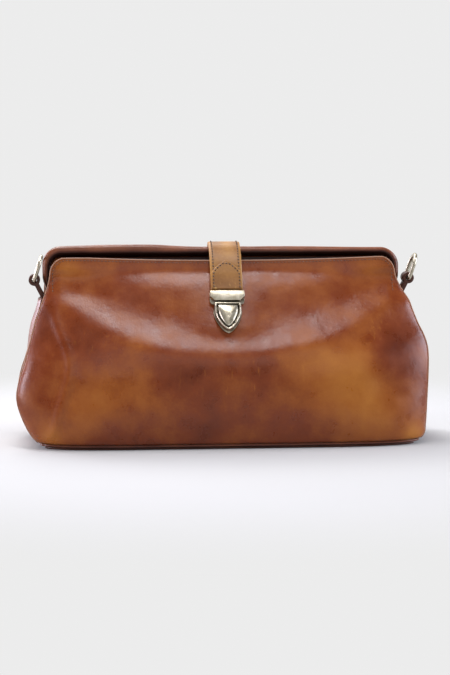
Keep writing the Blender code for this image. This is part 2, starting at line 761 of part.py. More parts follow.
def strap_line():
    """The strap's inner surface as a smooth run of (length, y, z)."""
    count = len(STRAP_PATH)
    steps = 8
    points = []
    for i in range(count - 1):
        before = STRAP_PATH[max(i - 1, 0)]
        start, end = STRAP_PATH[i], STRAP_PATH[i + 1]
        after = STRAP_PATH[min(i + 2, count - 1)]
        for step in range(steps + (i == count - 2)):
            t = step / steps
            points.append(tuple(
                0.5 * (2 * b + (c - a) * t + (2 * a - 5 * b + 4 * c - d) * t**2
                       + (3 * b - a - 3 * c + d) * t**3)
                for a, b, c, d in zip(before, start, end, after)))
    line = [(0.0, *points[0])]
    for old, new in zip(points, points[1:]):
        line.append((line[-1][0] + math.dist(old, new), *new))
    return line


STRAP_LINE = strap_line()
STRAP_LENGTH = STRAP_LINE[-1][0]


def along_strap(length):
    """(y, z) on the strap's inner surface at a length along it."""
    index = max(i for i in range(len(STRAP_LINE) - 1) if STRAP_LINE[i][0] <= length)
    (s0, y0, z0), (s1, y1, z1) = STRAP_LINE[index], STRAP_LINE[index + 1]
    t = (length - s0) / (s1 - s0)
    return y0 + (y1 - y0) * t, z0 + (z1 - z0) * t


def strap_point(at, lift=0.0):
    """(y, z) at a length along the strap, lifted off its inner surface."""
    at = min(max(at, 0.0), STRAP_LENGTH)
    y, z = along_strap(at)
    ya, za = along_strap(max(at - SLOPE_REACH, 0.0))
    yb, zb = along_strap(min(at + SLOPE_REACH, STRAP_LENGTH))
    length = math.hypot(yb - ya, zb - za)
    return y + (zb - za) / length * lift, z - (yb - ya) / length * lift


def strap_strip(name, start, end, low, high, finish, width=None):
    """A strip of the strap between two lengths and two lifts; width may vary along it."""
    count = max(3, round((end - start) / STRAP_STEP))
    across = 4
    rows = []
    for i in range(count + 1):
        at = start + (end - start) * i / count
        y, z = strap_point(at, high)
        half = width(at - start) if width else STRAP_HALF_WIDTH
        rows.append([(STRAP_CENTRE_X + half * (1 - 2 * c / across), y, z) for c in range(across + 1)])
    strip = add_object(name, loft_mesh(name, rows), finish)
    add_solidify(strip, high - low)
    return strip


def overlay_width(past_tip):
    """Half width of the overlay, whose upper end is a pointed arch."""
    share = min(past_tip / OVERLAY_ARCH, 1.0)
    return OVERLAY_TIP + (STRAP_HALF_WIDTH - OVERLAY_TIP) * math.sin(math.pi / 2 * share)


def build_strap(back_hinge, lock_frame):
    rear = strap_point(REAR_PIVOT_AT, STRAP_THICKNESS)
    front = strap_point(FRONT_PIVOT_AT, STRAP_THICKNESS)
    rear_pivot = add_empty("strap_rear_pivot", (STRAP_CENTRE_X, *rear))
    front_pivot = add_empty("strap_front_pivot", (STRAP_CENTRE_X, *front))
    keep_world(rear_pivot, back_hinge)
    keep_world(front_pivot, rear_pivot)
    tail = strap_strip("strap_tail", 0.0, REAR_PIVOT_AT - PIVOT_GAP, 0.0, STRAP_THICKNESS, STRAP_TAN)
    keep_world(tail, back_hinge)
    bend = strap_strip("strap_bend_leather", REAR_PIVOT_AT + PIVOT_GAP, FRONT_PIVOT_AT - PIVOT_GAP, 0.0,
                       STRAP_THICKNESS, STRAP_TAN)
    keep_world(bend, rear_pivot)
    start = FRONT_PIVOT_AT + PIVOT_GAP
    cap_top = STRAP_LENGTH - CAP_SHORT
    leather = strap_strip("strap_leather", start, STRAP_LENGTH - LEATHER_SHORT, STRAP_BACKING + GAP,
                          STRAP_THICKNESS, STRAP_TAN)
    for side in (-1, 1):
        name = "hasp_hole_" + ("left" if side < 0 else "right")
        drill = cylinder_object(name, RIVET_HOLE, -1.0, 4.6, "Z", (side * HASP_RIVET[0], HASP_RIVET[1]),
                                parent=lock_frame, collection=CUTTERS)
        add_boolean(leather, as_cutter(drill))
    backing = strap_strip("strap_backing", start, cap_top - 2 * GAP, 0.0, STRAP_BACKING, EDGE_BROWN)
    overlay_start = cap_top - OVERLAY_LENGTH
    overlay = strap_strip("strap_overlay", overlay_start, cap_top, STRAP_THICKNESS + GAP,
                          STRAP_THICKNESS + GAP + STRAP_OVERLAY, STRAP_TAN, overlay_width)
    for piece in (leather, backing, overlay):
        keep_world(piece, front_pivot)
    return front_pivot


# ---------------------------------------------------------------- lock and hasp

def shield_outline(grow=0.0, steps=12):
    """The shield seen from outside: a flat top, straight shoulders and a rounded point."""
    top = SHIELD_TOP + grow
    apex = SHIELD_APEX - grow * 1.2
    right = [(SHIELD_HALF + grow, top)]
    for i in range(steps):
        share = i / steps
        half = (SHIELD_HALF + grow) * (1 - share**SHIELD_FULLNESS) ** SHIELD_ROUNDING
        right.append((half, SHIELD_SHOULDER + (apex - SHIELD_SHOULDER) * share))
    return right + [(0.0, apex)] + [(-x, y) for x, y in reversed(right)]


def plate_outline():
    """The lock's base plate: the shield with a wider rounded plate above it, under the hasp."""
    foot = [point for point in shield_outline(PLATE_MARGIN) if point[1] < SHIELD_TOP - 1]
    right = []
    steps = 6
    for i in range(steps + 1):
        turn = math.pi / 2 * i / steps
        right.append((HASP_HALF - PLATE_CORNER + PLATE_CORNER * math.sin(turn),
                      PLATE_WIDE_FROM - PLATE_CORNER * math.cos(turn)))
    right.append((HASP_HALF, HASP_TOP + 0.2))
    return list(reversed(right)) + foot + [(-x, y) for x, y in right]


def hasp_outline():
    right = [(HASP_HALF, HASP_TOP), (HASP_HALF, HASP_BOTTOM + HASP_CHAMFER),
             (HASP_HALF - HASP_CHAMFER, HASP_BOTTOM)]
    return right + [(-x, y) for x, y in reversed(right)]


def stack_mesh(name, outline, levels):
    """A closed solid from one outline at several (scale, height) levels."""
    work = bmesh.new()
    loops = []
    for scale, height in levels:
        loops.append([work.verts.new(metres((x * scale, y * scale, height))) for x, y in outline])
    count = len(outline)
    for lower, upper in zip(loops, loops[1:]):
        for i in range(count):
            after = (i + 1) % count
            work.faces.new((lower[i], lower[after], upper[after], upper[i]))
    work.faces.new(list(reversed(loops[0])))
    work.faces.new(loops[-1])
    return mesh_from_bmesh(name, work, smooth=True)


def build_lock(lock_frame):
    rivet_holes = []
    for side in (-1, 1):
        name = "lock_hole_" + ("left" if side < 0 else "right")
        hole = cylinder_object(name, RIVET_HOLE, -8.0, 4.0, "Z", (side * LOCK_RIVET[0], LOCK_RIVET[1]),
                               parent=lock_frame, collection=CUTTERS)
        rivet_holes.append(as_cutter(hole))
    plate = solid_plate("lock_base_plate", [plate_outline()], *PLATE_FACE, BRASS)
    plate.parent = lock_frame
    back_plate = box_object("lock_back_plate", *LOCK_BACK_PLATE, STEEL, lock_frame)
    pieces = [plate, back_plate, bpy.data.objects["front_panel"], bpy.data.objects["lining"]]
    for piece in pieces:
        for hole in rivet_holes:
            add_boolean(piece, hole)
    case = solid_plate("lock_case", [shield_outline(), shield_outline(-CASE_WALL)], *CASE_FACE, BRASS)
    case.parent = lock_frame
    notch = box_object("bolt_notch", (-BOLT_HALF - 0.4, SHIELD_TOP - 2.5, CASE_FACE[0] - 1),
                       (BOLT_HALF + 0.4, SHIELD_TOP + 1, BOLT_FACE[1] + 0.5), parent=lock_frame,
                       collection=CUTTERS)
    add_boolean(case, as_cutter(notch))
    shaft, head = LOCK_RIVET_RADII
    bottom, under, over, top = LOCK_RIVET_LEVELS
    profile = [(0, top), (head - 0.4, top), (head, top - 0.3), (head, over), (shaft, over), (shaft, under),
               (head, under), (head, bottom), (0, bottom)]
    for side, tag in ((-1, "left"), (1, "right")):
        turned_object(f"lock_rivet_{tag}", profile, STEEL, (side * LOCK_RIVET[0], LOCK_RIVET[1], 0),
                      axis="Z", parent=lock_frame, steps=12)
    coil = []
    steps = 10 * SPRING_TURNS
    low, high = PLATE_FACE[1] + GAP + SPRING_WIRE, BUTTON_BASE - GAP - SPRING_WIRE
    for i in range(steps + 1):
        turn = 2 * math.pi * SPRING_TURNS * i / steps
        coil.append((SPRING_RADIUS * math.cos(turn), SPRING_CENTRE + SPRING_RADIUS * math.sin(turn),
                     low + (high - low) * i / steps))
    spring = add_object("lock_spring", wire_curve("lock_spring", coil, SPRING_WIRE, sides=1), STEEL)
    spring.parent = lock_frame


def build_lock_movers(lock_frame):
    outline = shield_outline(-BUTTON_INSET)
    button_pivot = add_empty("button_slide", (0, BUTTON_CENTRE, BUTTON_BASE), parent=lock_frame)
    shifted = [(x, y - BUTTON_CENTRE) for x, y in outline]
    button = add_object("lock_button", stack_mesh("lock_button", shifted, BUTTON_DOME), BRASS)
    button.parent = button_pivot
    bolt_pivot = add_empty("bolt_slide", (0, BOLT_SPAN[0], BOLT_FACE[0]), parent=lock_frame)
    length = BOLT_SPAN[1] - BOLT_SPAN[0]
    box_object("lock_bolt", (-BOLT_HALF, 0, 0), (BOLT_HALF, length, BOLT_FACE[1] - BOLT_FACE[0]), STEEL,
               bolt_pivot)


def build_hasp(lock_frame, strap_pivot):
    cap = solid_plate("hasp_cap", [hasp_outline()], *HASP_FACE, BRASS)
    cap.parent = lock_frame
    pocket = box_object("hasp_pocket", (-STRAP_HALF_WIDTH - GAP, HASP_BOTTOM + HASP_LIP, HASP_FACE[0] - 1),
                        (STRAP_HALF_WIDTH + GAP, HASP_TOP + 2, HASP_FACE[1] - HASP_SKIN),
                        parent=lock_frame, collection=CUTTERS)
    add_boolean(cap, as_cutter(pocket))
    back = box_object("hasp_back_plate", *HASP_BACK_PLATE, BRASS, lock_frame)
    for side in (-1, 1):
        add_boolean(back, bpy.data.objects["hasp_hole_" + ("left" if side < 0 else "right")])
    leg, gate = STAPLE_LEG, BOLT_HALF + 0.5
    under, over = STAPLE_BAR
    bridge = [(-leg, 0), (-gate, 0), (-gate, under), (gate, under), (gate, 0), (leg, 0), (leg, over),
              (-leg, over)]
    staple = plate_object("hasp_staple", [bridge], *STAPLE_SPAN, BRASS, lock_frame, plane="XZ",
                          offset=(0, BOLT_FACE[0]))
    pins = []
    for side, tag in ((-1, "left"), (1, "right")):
        pins.append(cylinder_object(f"hasp_rivet_{tag}", HASP_PIN, *HASP_PIN_SPAN, "Z",
                                    (side * HASP_RIVET[0], HASP_RIVET[1]), STEEL, lock_frame, segments=20))
    bpy.context.view_layer.update()
    for piece in [cap, back, staple] + pins:
        world = piece.matrix_world.copy()
        piece.parent = strap_pivot
        piece.matrix_parent_inverse = strap_pivot.matrix_world.inverted()
        piece.matrix_basis = world


def main():
    build_base()
    build_panels()
    build_folds()
    build_lining()
    front_hinge = add_empty("front_jaw_pivot", (JAW_CENTRE_X, 0, HINGE_Z))
    back_hinge = add_empty("back_jaw_pivot", (JAW_CENTRE_X, 0, HINGE_Z))
    build_front_jaw(front_hinge)
    build_back_jaw(back_hinge)
    build_hinges()
    build_ring(-1, "left", LEFT_RING_LEAN)
    build_ring(1, "right", RIGHT_RING_LEAN)
    lock_frame = add_empty("lock_frame", (STRAP_CENTRE_X, LOCK_Y, LOCK_Z), (LOCK_TILT, 0, 0))
    strap_pivot = build_strap(back_hinge, lock_frame)
    build_lock(lock_frame)
    build_lock_movers(lock_frame)
    build_hasp(lock_frame, strap_pivot)
    bpy.context.view_layer.update()


main()
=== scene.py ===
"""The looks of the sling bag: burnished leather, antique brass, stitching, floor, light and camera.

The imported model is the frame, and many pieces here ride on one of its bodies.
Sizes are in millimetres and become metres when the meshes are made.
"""
import json
from math import atan2, copysign, cos, dist, exp, hypot, pi, radians, sin, sqrt

import bmesh
import bpy
from mathutils import Matrix, Vector, noise

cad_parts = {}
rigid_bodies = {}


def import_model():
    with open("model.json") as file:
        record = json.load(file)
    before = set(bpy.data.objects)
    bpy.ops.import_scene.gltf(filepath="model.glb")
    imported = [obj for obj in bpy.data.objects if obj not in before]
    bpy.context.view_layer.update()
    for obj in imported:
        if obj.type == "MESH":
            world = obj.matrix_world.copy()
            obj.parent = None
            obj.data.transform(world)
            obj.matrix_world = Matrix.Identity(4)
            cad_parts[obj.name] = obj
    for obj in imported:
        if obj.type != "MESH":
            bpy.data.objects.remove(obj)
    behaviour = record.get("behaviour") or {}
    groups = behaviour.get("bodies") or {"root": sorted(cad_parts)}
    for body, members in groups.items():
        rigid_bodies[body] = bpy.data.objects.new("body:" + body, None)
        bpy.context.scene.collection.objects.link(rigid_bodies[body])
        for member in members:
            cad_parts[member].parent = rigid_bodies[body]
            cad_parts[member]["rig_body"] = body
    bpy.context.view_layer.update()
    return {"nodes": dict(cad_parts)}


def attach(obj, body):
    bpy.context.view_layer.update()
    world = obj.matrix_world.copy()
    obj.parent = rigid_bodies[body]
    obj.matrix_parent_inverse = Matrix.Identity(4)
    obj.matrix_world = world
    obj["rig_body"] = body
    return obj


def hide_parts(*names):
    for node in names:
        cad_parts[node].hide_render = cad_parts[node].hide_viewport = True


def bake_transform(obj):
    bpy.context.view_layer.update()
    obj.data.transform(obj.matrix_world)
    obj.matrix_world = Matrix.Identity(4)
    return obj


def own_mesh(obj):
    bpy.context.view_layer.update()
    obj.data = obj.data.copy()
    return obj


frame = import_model()

MM = 0.001
OUT_BACK = Vector((0, 1, 0))
UP = Vector((0, 0, 1))

# ------------ the bag's shape, as the CAD has it

LEFT_WIDTH = ((0, 121), (8, 129.5), (20, 135.8), (33, 139.4), (45, 137.8), (56, 134.2), (81, 127.3),
              (94, 122.8), (102, 121))
RIGHT_WIDTH = ((0, 129.5), (6, 136), (14, 137.3), (30, 138.2), (50, 139.3), (60, 139.6), (67, 139),
               (74, 136.8), (81, 133.5), (92, 129.6), (102, 127))
FRONT_DEPTH = ((0, 44.5), (6, 47.5), (18, 49.7), (34, 50), (50, 48.6), (64, 44.2), (78, 36.5),
               (92, 27.7), (105, 19.5), (112, 14.6), (118, 11), (125, 9))
BACK_DEPTH = ((0, 44.5), (6, 47.5), (18, 49.7), (34, 50), (50, 48.6), (64, 44.2), (78, 36.5),
              (92, 28.2), (105, 20.8), (112, 16.2), (118, 12.8), (127, 10.4))
FRONT_SEAM = ((0, 31), (30, 30), (56, 27), (81, 19), (94, 14.2), (102, 10.6), (112, 9.6), (125, 9))
BACK_SEAM = ((0, 31), (30, 30), (56, 27), (81, 19), (94, 14.2), (102, 11.2), (112, 10.4),
             (127, 10.4))
LEFT_BULGE = ((0, -1), (30, -2.5), (56, -0.5), (78, 2.6), (97, 3.4), (102, 3.4))
RIGHT_BULGE = ((0, -1), (30, -2.5), (60, -1), (78, 0.4), (97, -1.4), (102, -1.4))
SIDE_POWER = 3.2
BASE_POWER = 6.5
SQUARE_TO = 45.0                # height where the outline has lost its squarer foot
FACE_POWER = 1.5

LEATHER = 1.8
SEAM_LAP = 2.1
EDGE_RADIUS = 0.42
BODY_BOTTOM = 3.8
LINING_INSET = 3.3
LINING_BOTTOM = 4.2
LINING_TOP = 92.5
GUSSET_TOP = 97.8
GUSSET_RISE = 1.5
WELT_Z = 2.7
WELT_RADIUS = 0.8
FOLD_BOTTOM = 94.05
FLARE_TOP = 116.0

JAW_CENTRE_X = 1.0
HINGE_Z = 100.0
FRONT_JAW = (117.7, 125.0, 11.0)        # half width, top and corner radius
BACK_JAW = (121.3, 127.0, 11.0)
RIM_Y = 5.0
RIM_TOP = 129.5
RIM_HALF = 119.9
RIM_CORNER = 10.0
RIM_RADIUS = 3.0
RIM_LEG_HALF = 117.4
RIM_LEG_KNEE = 112.0
RIM_LEG_END = 104.0

ROLL_CENTRE = (128.3, 110.8)
RING_WIRE = 1.4
RING_HALF_WIDTH = 7.65
RING_HEIGHT = 16.4
RING_LEAN = {"left": 17.0, "right": 19.0}

STRAP_CENTRE_X = 2.0
STRAP_HALF_WIDTH = 10.7
STRAP_PATH = ((22.6, 103.4), (17.6, 112), (13.6, 118.9), (11.2, 124.6), (10.1, 128.8),
              (7.9, 132), (4.4, 133.1), (0.6, 132.4), (-4.9, 129.7), (-10.8, 124), (-15.4, 116.4),
              (-18.9, 109.6), (-21.9, 104.1), (-24.3, 100.25), (-26.7, 96.4))
STRAP_THICKNESS = 2.9
STRAP_OVERLAY = 0.9
REAR_PIVOT_AT = 26.5
FRONT_PIVOT_AT = 40.5
CAP_SHORT = 8.8
LEATHER_SHORT = 2.6
OVERLAY_LENGTH = 21.0
OVERLAY_ARCH = 11.0

LOCK_FRAME = (2.0, -29.88, 88.5)
LOCK_TILT = radians(57.8)
SHIELD_TOP = 7.3
SHIELD_SHOULDER = 1.5
SHIELD_APEX = -13.3
SHIELD_HALF = 8.8
SHIELD_FULLNESS = 1.6
SHIELD_ROUNDING = 0.7
SHIELD_POINT = 1.2              # how much faster the apex grows than the sides
SPRING_MIDDLE = -3.5
SPRING_RADIUS = 2.4
SPRING_WIRE = 0.2
SPRING_SPAN = (1.9, 3.8)
SPRING_TURNS = 3
BUTTON_INSET = 2.3
BUTTON_OVAL = (6.4, 7.4)        # the dome's half width and height where it has lost its corners
BUTTON_CENTRE = -1.5
BUTTON_FOOT = 4.3
BUTTON_EDGE = 4.9
BUTTON_DOME = 1.95
BUTTON_DENT = (0.22, -3.2, 1.1)         # depth, place up the shield and radius

# ------------ looks, in linear colour

COGNAC = ((0.075, 0.01, 0.002), (0.165, 0.03, 0.004), (0.265, 0.071, 0.008), (0.365, 0.126, 0.016))
EDGE = ((0.02, 0.006, 0.004), (0.05, 0.014, 0.007), (0.1, 0.03, 0.013), (0.18, 0.065, 0.026))
TAN = ((0.1, 0.037, 0.01), (0.22, 0.095, 0.023), (0.345, 0.17, 0.043), (0.48, 0.285, 0.082))
RIM_BROWN = ((0.018, 0.005, 0.003), (0.085, 0.02, 0.009), (0.19, 0.06, 0.024), (0.3, 0.115, 0.045))
# painted shade: near-black leather for the facings and the front jaw's wrap, standing for the shade
# in the mouth's recess
RECESS_SHADE_BROWN = ((0.008, 0.003, 0.002), (0.02, 0.006, 0.004), (0.034, 0.01, 0.006),
                (0.06, 0.02, 0.01))
# the cut edge's own paler colour, lightened further as a painted highlight line
PALE_EDGE_AND_HIGHLIGHT = (0.330, 0.170, 0.105)
THREAD_BROWN = (0.130, 0.048, 0.020)
THREAD_TAN = (0.060, 0.024, 0.011)
PAPER = (0.44, 0.44, 0.44)
PAPER_GLOW = (0.04, 0.84)       # near the bag and away from it
PAPER_NEAR = (0.19, 0.40)       # metres from the bag's middle over which it changes
WHITE = (1.0, 1.0, 1.0)


# ------------ curves and numbers

def smooth_value(table, at):
    """Value of a smooth curve through the (place, value) pairs of a table."""
    if at <= table[0][0]:
        return float(table[0][1])
    if at >= table[-1][0]:
        return float(table[-1][1])
    index = max(i for i in range(len(table) - 1) if table[i][0] <= at)

    def slope(i):
        low = max(i - 1, 0)
        high = min(i + 1, len(table) - 1)
        return (table[high][1] - table[low][1]) / (table[high][0] - table[low][0])

    (x0, y0), (x1, y1) = table[index], table[index + 1]
    width = x1 - x0
    t = (at - x0) / width
    return ((2 * t**3 - 3 * t**2 + 1) * y0 + (t**3 - 2 * t**2 + t) * width * slope(index)
            + (3 * t**2 - 2 * t**3) * y1 + (t**3 - t**2) * width * slope(index + 1))


def smoothstep(low, high, at):
    t = min(max((at - low) / (high - low), 0.0), 1.0)
    return t * t * (3 - 2 * t)


def bell(distance, width):
    return exp(-(distance / width) ** 2)


def lumps(x, y, z):
    """Smooth noise, from about -1 to 1."""
    return noise.noise(Vector((x, y, z)))


def steps_between(low, high, step):
    count = max(1, round((high - low) / step))
    return [low + (high - low) * i / count for i in range(count + 1)]


def metres(point):
    return Vector(point) * MM


# ------------ making objects

def add_object(data, *materials):
    """An object with its data's name."""
    item = bpy.data.objects.new(data.name, data)
    bpy.context.scene.collection.objects.link(item)
    for material in materials:
        data.materials.append(material)
    return item


def fill_mesh(mesh, work):
    """Moves finished work into a mesh and shades it smooth."""
    work.to_mesh(mesh)
    work.free()
    mesh.shade_smooth()
    return mesh


def grid_mesh(name, rows, closed=False, caps=False, foot=False):
    """A smooth surface through rows of points, with both ends closed or just the foot."""
    work = bmesh.new()
    grid = [[work.verts.new(metres(point)) for point in row] for row in rows]
    columns = len(rows[0])
    for lower, upper in zip(grid, grid[1:]):
        for column in range(columns if closed else columns - 1):
            after = (column + 1) % columns
            work.faces.new((lower[column], lower[after], upper[after], upper[column]))
    if caps or foot:
        work.faces.new(list(reversed(grid[0])))
    if caps:
        work.faces.new(grid[-1])
    if closed and caps:
        bmesh.ops.recalc_face_normals(work, faces=work.faces)
    return fill_mesh(bpy.data.meshes.new(name), work)


def paint(item, **layers):
    """A number for each point of a mesh, from a function of its place in millimetres."""
    for name, value_at in layers.items():
        values = item.data.attributes.new(name, "FLOAT", "POINT")
        for index, vertex in enumerate(item.data.vertices):
            values.data[index].value = value_at(*(vertex.co / MM))


def bake_modifiers(item):
    """Gives an object the mesh that its modifiers make."""
    bpy.context.view_layer.update()
    graph = bpy.context.evaluated_depsgraph_get()
    mesh = bpy.data.meshes.new_from_object(item.evaluated_get(graph), depsgraph=graph)
    item.modifiers.clear()
    item.data = mesh


def thicken(item, thickness, rim_material=0):
    """Gives a surface its thickness on the inner side; the cut edge may have its own material."""
    modifier = item.modifiers.new("thickness", "SOLIDIFY")
    modifier.thickness = thickness * MM
    modifier.offset = -1.0
    modifier.use_even_offset = True
    modifier.material_offset_rim = rim_material
    bake_modifiers(item)


def tube_mesh(name, points, radius_at, sides=16, closed=False, normal=OUT_BACK):
    """A tube along points; radius_at takes 0 to 1 along it and the turn round it."""
    path = [Vector(point) for point in points]
    count = len(path)
    rows = []
    for i, point in enumerate(path):
        ahead = path[(i + 1) % count] if closed or i + 1 < count else point
        behind = path[i - 1] if closed or i > 0 else point
        along = (ahead - behind).normalized()
        side = along.cross(normal).normalized()
        up = side.cross(along)
        row = []
        for s in range(sides):
            turn = 2 * pi * s / sides
            reach = radius_at(i / max(count - 1, 1), turn)
            row.append(point + side * (cos(turn) * reach) + up * (sin(turn) * reach))
        rows.append(row)
    if closed:
        rows.append(rows[0])
    mesh = grid_mesh(name, rows, closed=True, caps=not closed)
    work = bmesh.new()
    work.from_mesh(mesh)
    bmesh.ops.remove_doubles(work, verts=work.verts, dist=0.000001)
    bmesh.ops.recalc_face_normals(work, faces=work.faces)
    return fill_mesh(mesh, work)


# ------------ materials

MIX_INPUTS = (0, 6, 7)          # a colour mix node's factor and two colours
MIX_OUTPUT = 2
TONES = (0.12, 0.42, 0.66, 0.98)        # where on a leather's ramp its four colours lie


def feed(tree, socket, value):
    """Links an output to a socket, or sets a number or colour on it."""
    if isinstance(value, bpy.types.NodeSocket):
        tree.links.new(value, socket)
    else:
        socket.default_value = value


class Look:
    """A material in the making: its node tree, its shader and the place of each point."""

    def __init__(self, name):
        self.material = bpy.data.materials.new(name)
        self.material.use_nodes = True
        self.tree = self.material.node_tree
        self.shader = self.tree.nodes["Principled BSDF"]
        self.place = self.node("TexCoord").outputs["Object"]

    def node(self, kind, **settings):
        made = self.tree.nodes.new("ShaderNode" + kind)
        for key, value in settings.items():
            setattr(made, key, value)
        return made

    def feed(self, made, **values):
        """Feeds a node's inputs by name, and gives the node back."""
        for key, value in values.items():
            feed(self.tree, made.inputs[key.replace("_", " ")], value)
        return made

    def finish(self, **values):
        self.feed(self.shader, **values)
        return self.material

    def calculate(self, operation, *values):
        made = self.node("Math", operation=operation)
        for socket, value in zip(made.inputs, values):
            feed(self.tree, socket, value)
        return made.outputs[0]

    def stretched(self, *scale):
        """The place of each point, scaled along each axis."""
        return self.feed(self.node("Mapping"), Vector=self.place, Scale=scale).outputs["Vector"]

    def noise(self, scale, detail, distortion=0.0, place=None):
        return self.feed(self.node("TexNoise"), Vector=place or self.place, Scale=scale,
                         Detail=detail, Distortion=distortion).outputs["Fac"]

    def wave(self, direction, scale, distortion):
        return self.feed(self.node("TexWave", bands_direction=direction), Vector=self.place,
                         Scale=scale, Distortion=distortion).outputs["Fac"]

    def remap(self, value, low, high, to_low, to_high):
        return self.feed(self.node("MapRange"), Value=value, From_Min=low, From_Max=high,
                         To_Min=to_low, To_Max=to_high).outputs["Result"]

    def ramp(self, factor, colours, places):
        made = self.feed(self.node("ValToRGB"), Fac=factor)
        elements = made.color_ramp.elements
        while len(elements) < len(colours):
            elements.new(0.5)
        for element, colour, place in zip(elements, colours, places):
            element.position = place
            element.color = (*colour, 1.0)
        return made.outputs["Color"]

    def mix(self, factor, first, second, blend="MIX"):
        made = self.node("Mix", data_type="RGBA", blend_type=blend)
        for index, value in zip(MIX_INPUTS, (factor, first, second)):
            value = (*value, 1.0) if isinstance(value, tuple) else value
            feed(self.tree, made.inputs[index], value)
        return made.outputs[MIX_OUTPUT]

    def bump(self, height, strength, distance, below=None):
        made = self.feed(self.node("Bump"), Height=height, Strength=strength, Distance=distance)
        if below:
            self.feed(made, Normal=below)
        return made.outputs["Normal"]

    def painted(self, name):
        return self.node("Attribute", attribute_name=name).outputs["Fac"]


def leather(name, colours, roughness=0.30, mottle=0.9, patina=False, gloss=0.34):
    """Smooth burnished leather: slow colour drift, cloudy patches, pores, creases and scuffs; a
    painted tone per point that on some pieces also holds painted shade.
    """
    look = Look(name)
    drift = look.noise(20, 2.0, 0.5)
    cloud = look.noise(75, 3.0)
    speck = look.noise(620, 4.0)
    tone = 0.47
    for value, share in ((drift, 0.45 * mottle), (cloud, 0.50 * mottle), (speck, 0.14)):
        tone = look.calculate("MULTIPLY_ADD", look.calculate("SUBTRACT", value, 0.5), share, tone)
    if patina:
        # painted tone per point: patches of patina, and painted shade on the rim and its turned-in
        # edge
        tone = look.calculate("ADD", tone, look.painted("patina"))
    colour = look.ramp(tone, colours, TONES)
    streaks = look.noise(420, 4.0, 0.3, look.stretched(1.0, 1.0, 0.16))
    if patina:
        rubbed = look.remap(streaks, 0.60, 0.72, 0.0, 0.75)
        rubbed = look.calculate("MULTIPLY", rubbed, look.painted("scuff"))
        colour = look.mix(rubbed, colour, colours[3])
    cells = look.feed(look.node("TexVoronoi", feature="DISTANCE_TO_EDGE"), Scale=520,
                      Vector=look.stretched(1.0, 1.0, 0.7))
    cracks = look.remap(cells.outputs["Distance"], 0.0, 0.12, 0.0, 1.0)
    relief = None
    for height, strength, depth in (
            (look.noise(190, 2.0), 0.16, 0.0009), (streaks, 0.12, 0.00025),
            (cracks, 0.10, 0.00012), (look.noise(2600, 2.0), 0.13, 0.00010)):
        relief = look.bump(height, strength, depth, relief)
    sheen = look.remap(cloud, 0.3, 0.7, roughness - 0.05, roughness + 0.09)
    return look.finish(Base_Color=colour, Normal=relief, Roughness=sheen, Specular_IOR_Level=gloss)


def antique_brass(name, bright, dark, roughness):
    """Pale brushed metal, darker where the tarnish stays and brighter where it is rubbed; its
    crevices are painted dark, partly tarnish and partly painted shade.
    """
    look = Look(name)
    brushed = look.noise(900, 4.0, place=look.stretched(1.0, 9.0, 9.0))
    tarnish = look.noise(260, 5.0, 0.6)
    wear = look.remap(look.node("NewGeometry").outputs["Pointiness"], 0.50, 0.58, 0.0, 0.35)
    # painted shade: an occlusion test darkens the colour in crevices and under overhangs, along with
    # the tarnish that stays there
    corner = look.feed(look.node("AmbientOcclusion", samples=8), Distance=0.0016)
    crevice_tarnish_and_shade = look.remap(corner.outputs["AO"], 0.35, 0.85, -0.50, 0.0)
    tone = look.calculate("ADD", look.calculate("ADD", tarnish, wear), crevice_tarnish_and_shade)
    return look.finish(
        Base_Color=look.ramp(tone, (dark, bright, (0.62, 0.57, 0.47)), (0.16, 0.50, 0.95)),
        Roughness=look.remap(brushed, 0.3, 0.7, roughness - 0.06, roughness + 0.12),
        Normal=look.bump(brushed, 0.12, 0.00006), Metallic=1.0)


def thread(name, colour):
    """Twisted waxed thread."""
    look = Look(name)
    twist = look.wave("DIAGONAL", 900.0, 0.6)
    shade = look.remap(twist, 0.0, 1.0, 0.55, 1.15)
    return look.finish(Base_Color=look.mix(1.0, colour, shade, "MULTIPLY"),
                       Normal=look.bump(twist, 0.5, 0.0001), Roughness=0.6, Sheen_Weight=0.2)


def woven_cloth(name, colour):
    """Cotton lining: two crossing sets of yarns."""
    look = Look(name)
    weave = look.calculate("MULTIPLY", look.wave("X", 420.0, 0.8), look.wave("Z", 420.0, 0.8))
    shade = look.remap(look.calculate("ADD", weave, look.noise(60, 3.0)), 0.2, 1.3, 0.6, 1.2)
    return look.finish(Base_Color=look.mix(1.0, colour, shade, "MULTIPLY"),
                       Normal=look.bump(weave, 0.4, 0.0002), Roughness=0.88, Sheen_Weight=0.15)


def fibre_board(name):
    """Grey pressed board with short fibres."""
    look = Look(name)
    fibres = look.noise(900, 4.0, 1.0, look.stretched(0.3, 1.0, 1.0))
    return look.finish(
        Base_Color=look.ramp(fibres, ((0.22, 0.20, 0.17), (0.42, 0.39, 0.34)), (0.3, 0.7)),
        Normal=look.bump(fibres, 0.4, 0.0002), Roughness=0.9)


def studio_paper(name):
    """Pale paper that takes the bag's shadow near it and glows evenly away from it."""
    look = Look(name)
    spread = look.node("VectorMath", operation="LENGTH")
    feed(look.tree, spread.inputs[0], look.stretched(1.0, 1.0, 0.0))
    away = look.feed(look.node("MapRange", interpolation_type="SMOOTHSTEP"),
                     Value=spread.outputs["Value"], From_Min=PAPER_NEAR[0], From_Max=PAPER_NEAR[1])
    share = away.outputs["Result"]
    return look.finish(Base_Color=look.mix(share, PAPER, (0.0, 0.0, 0.0)),
                       Emission_Strength=look.remap(share, 0.0, 1.0, *PAPER_GLOW),
                       Emission_Color=(*WHITE, 1.0), Roughness=0.9, Specular_IOR_Level=0.0)


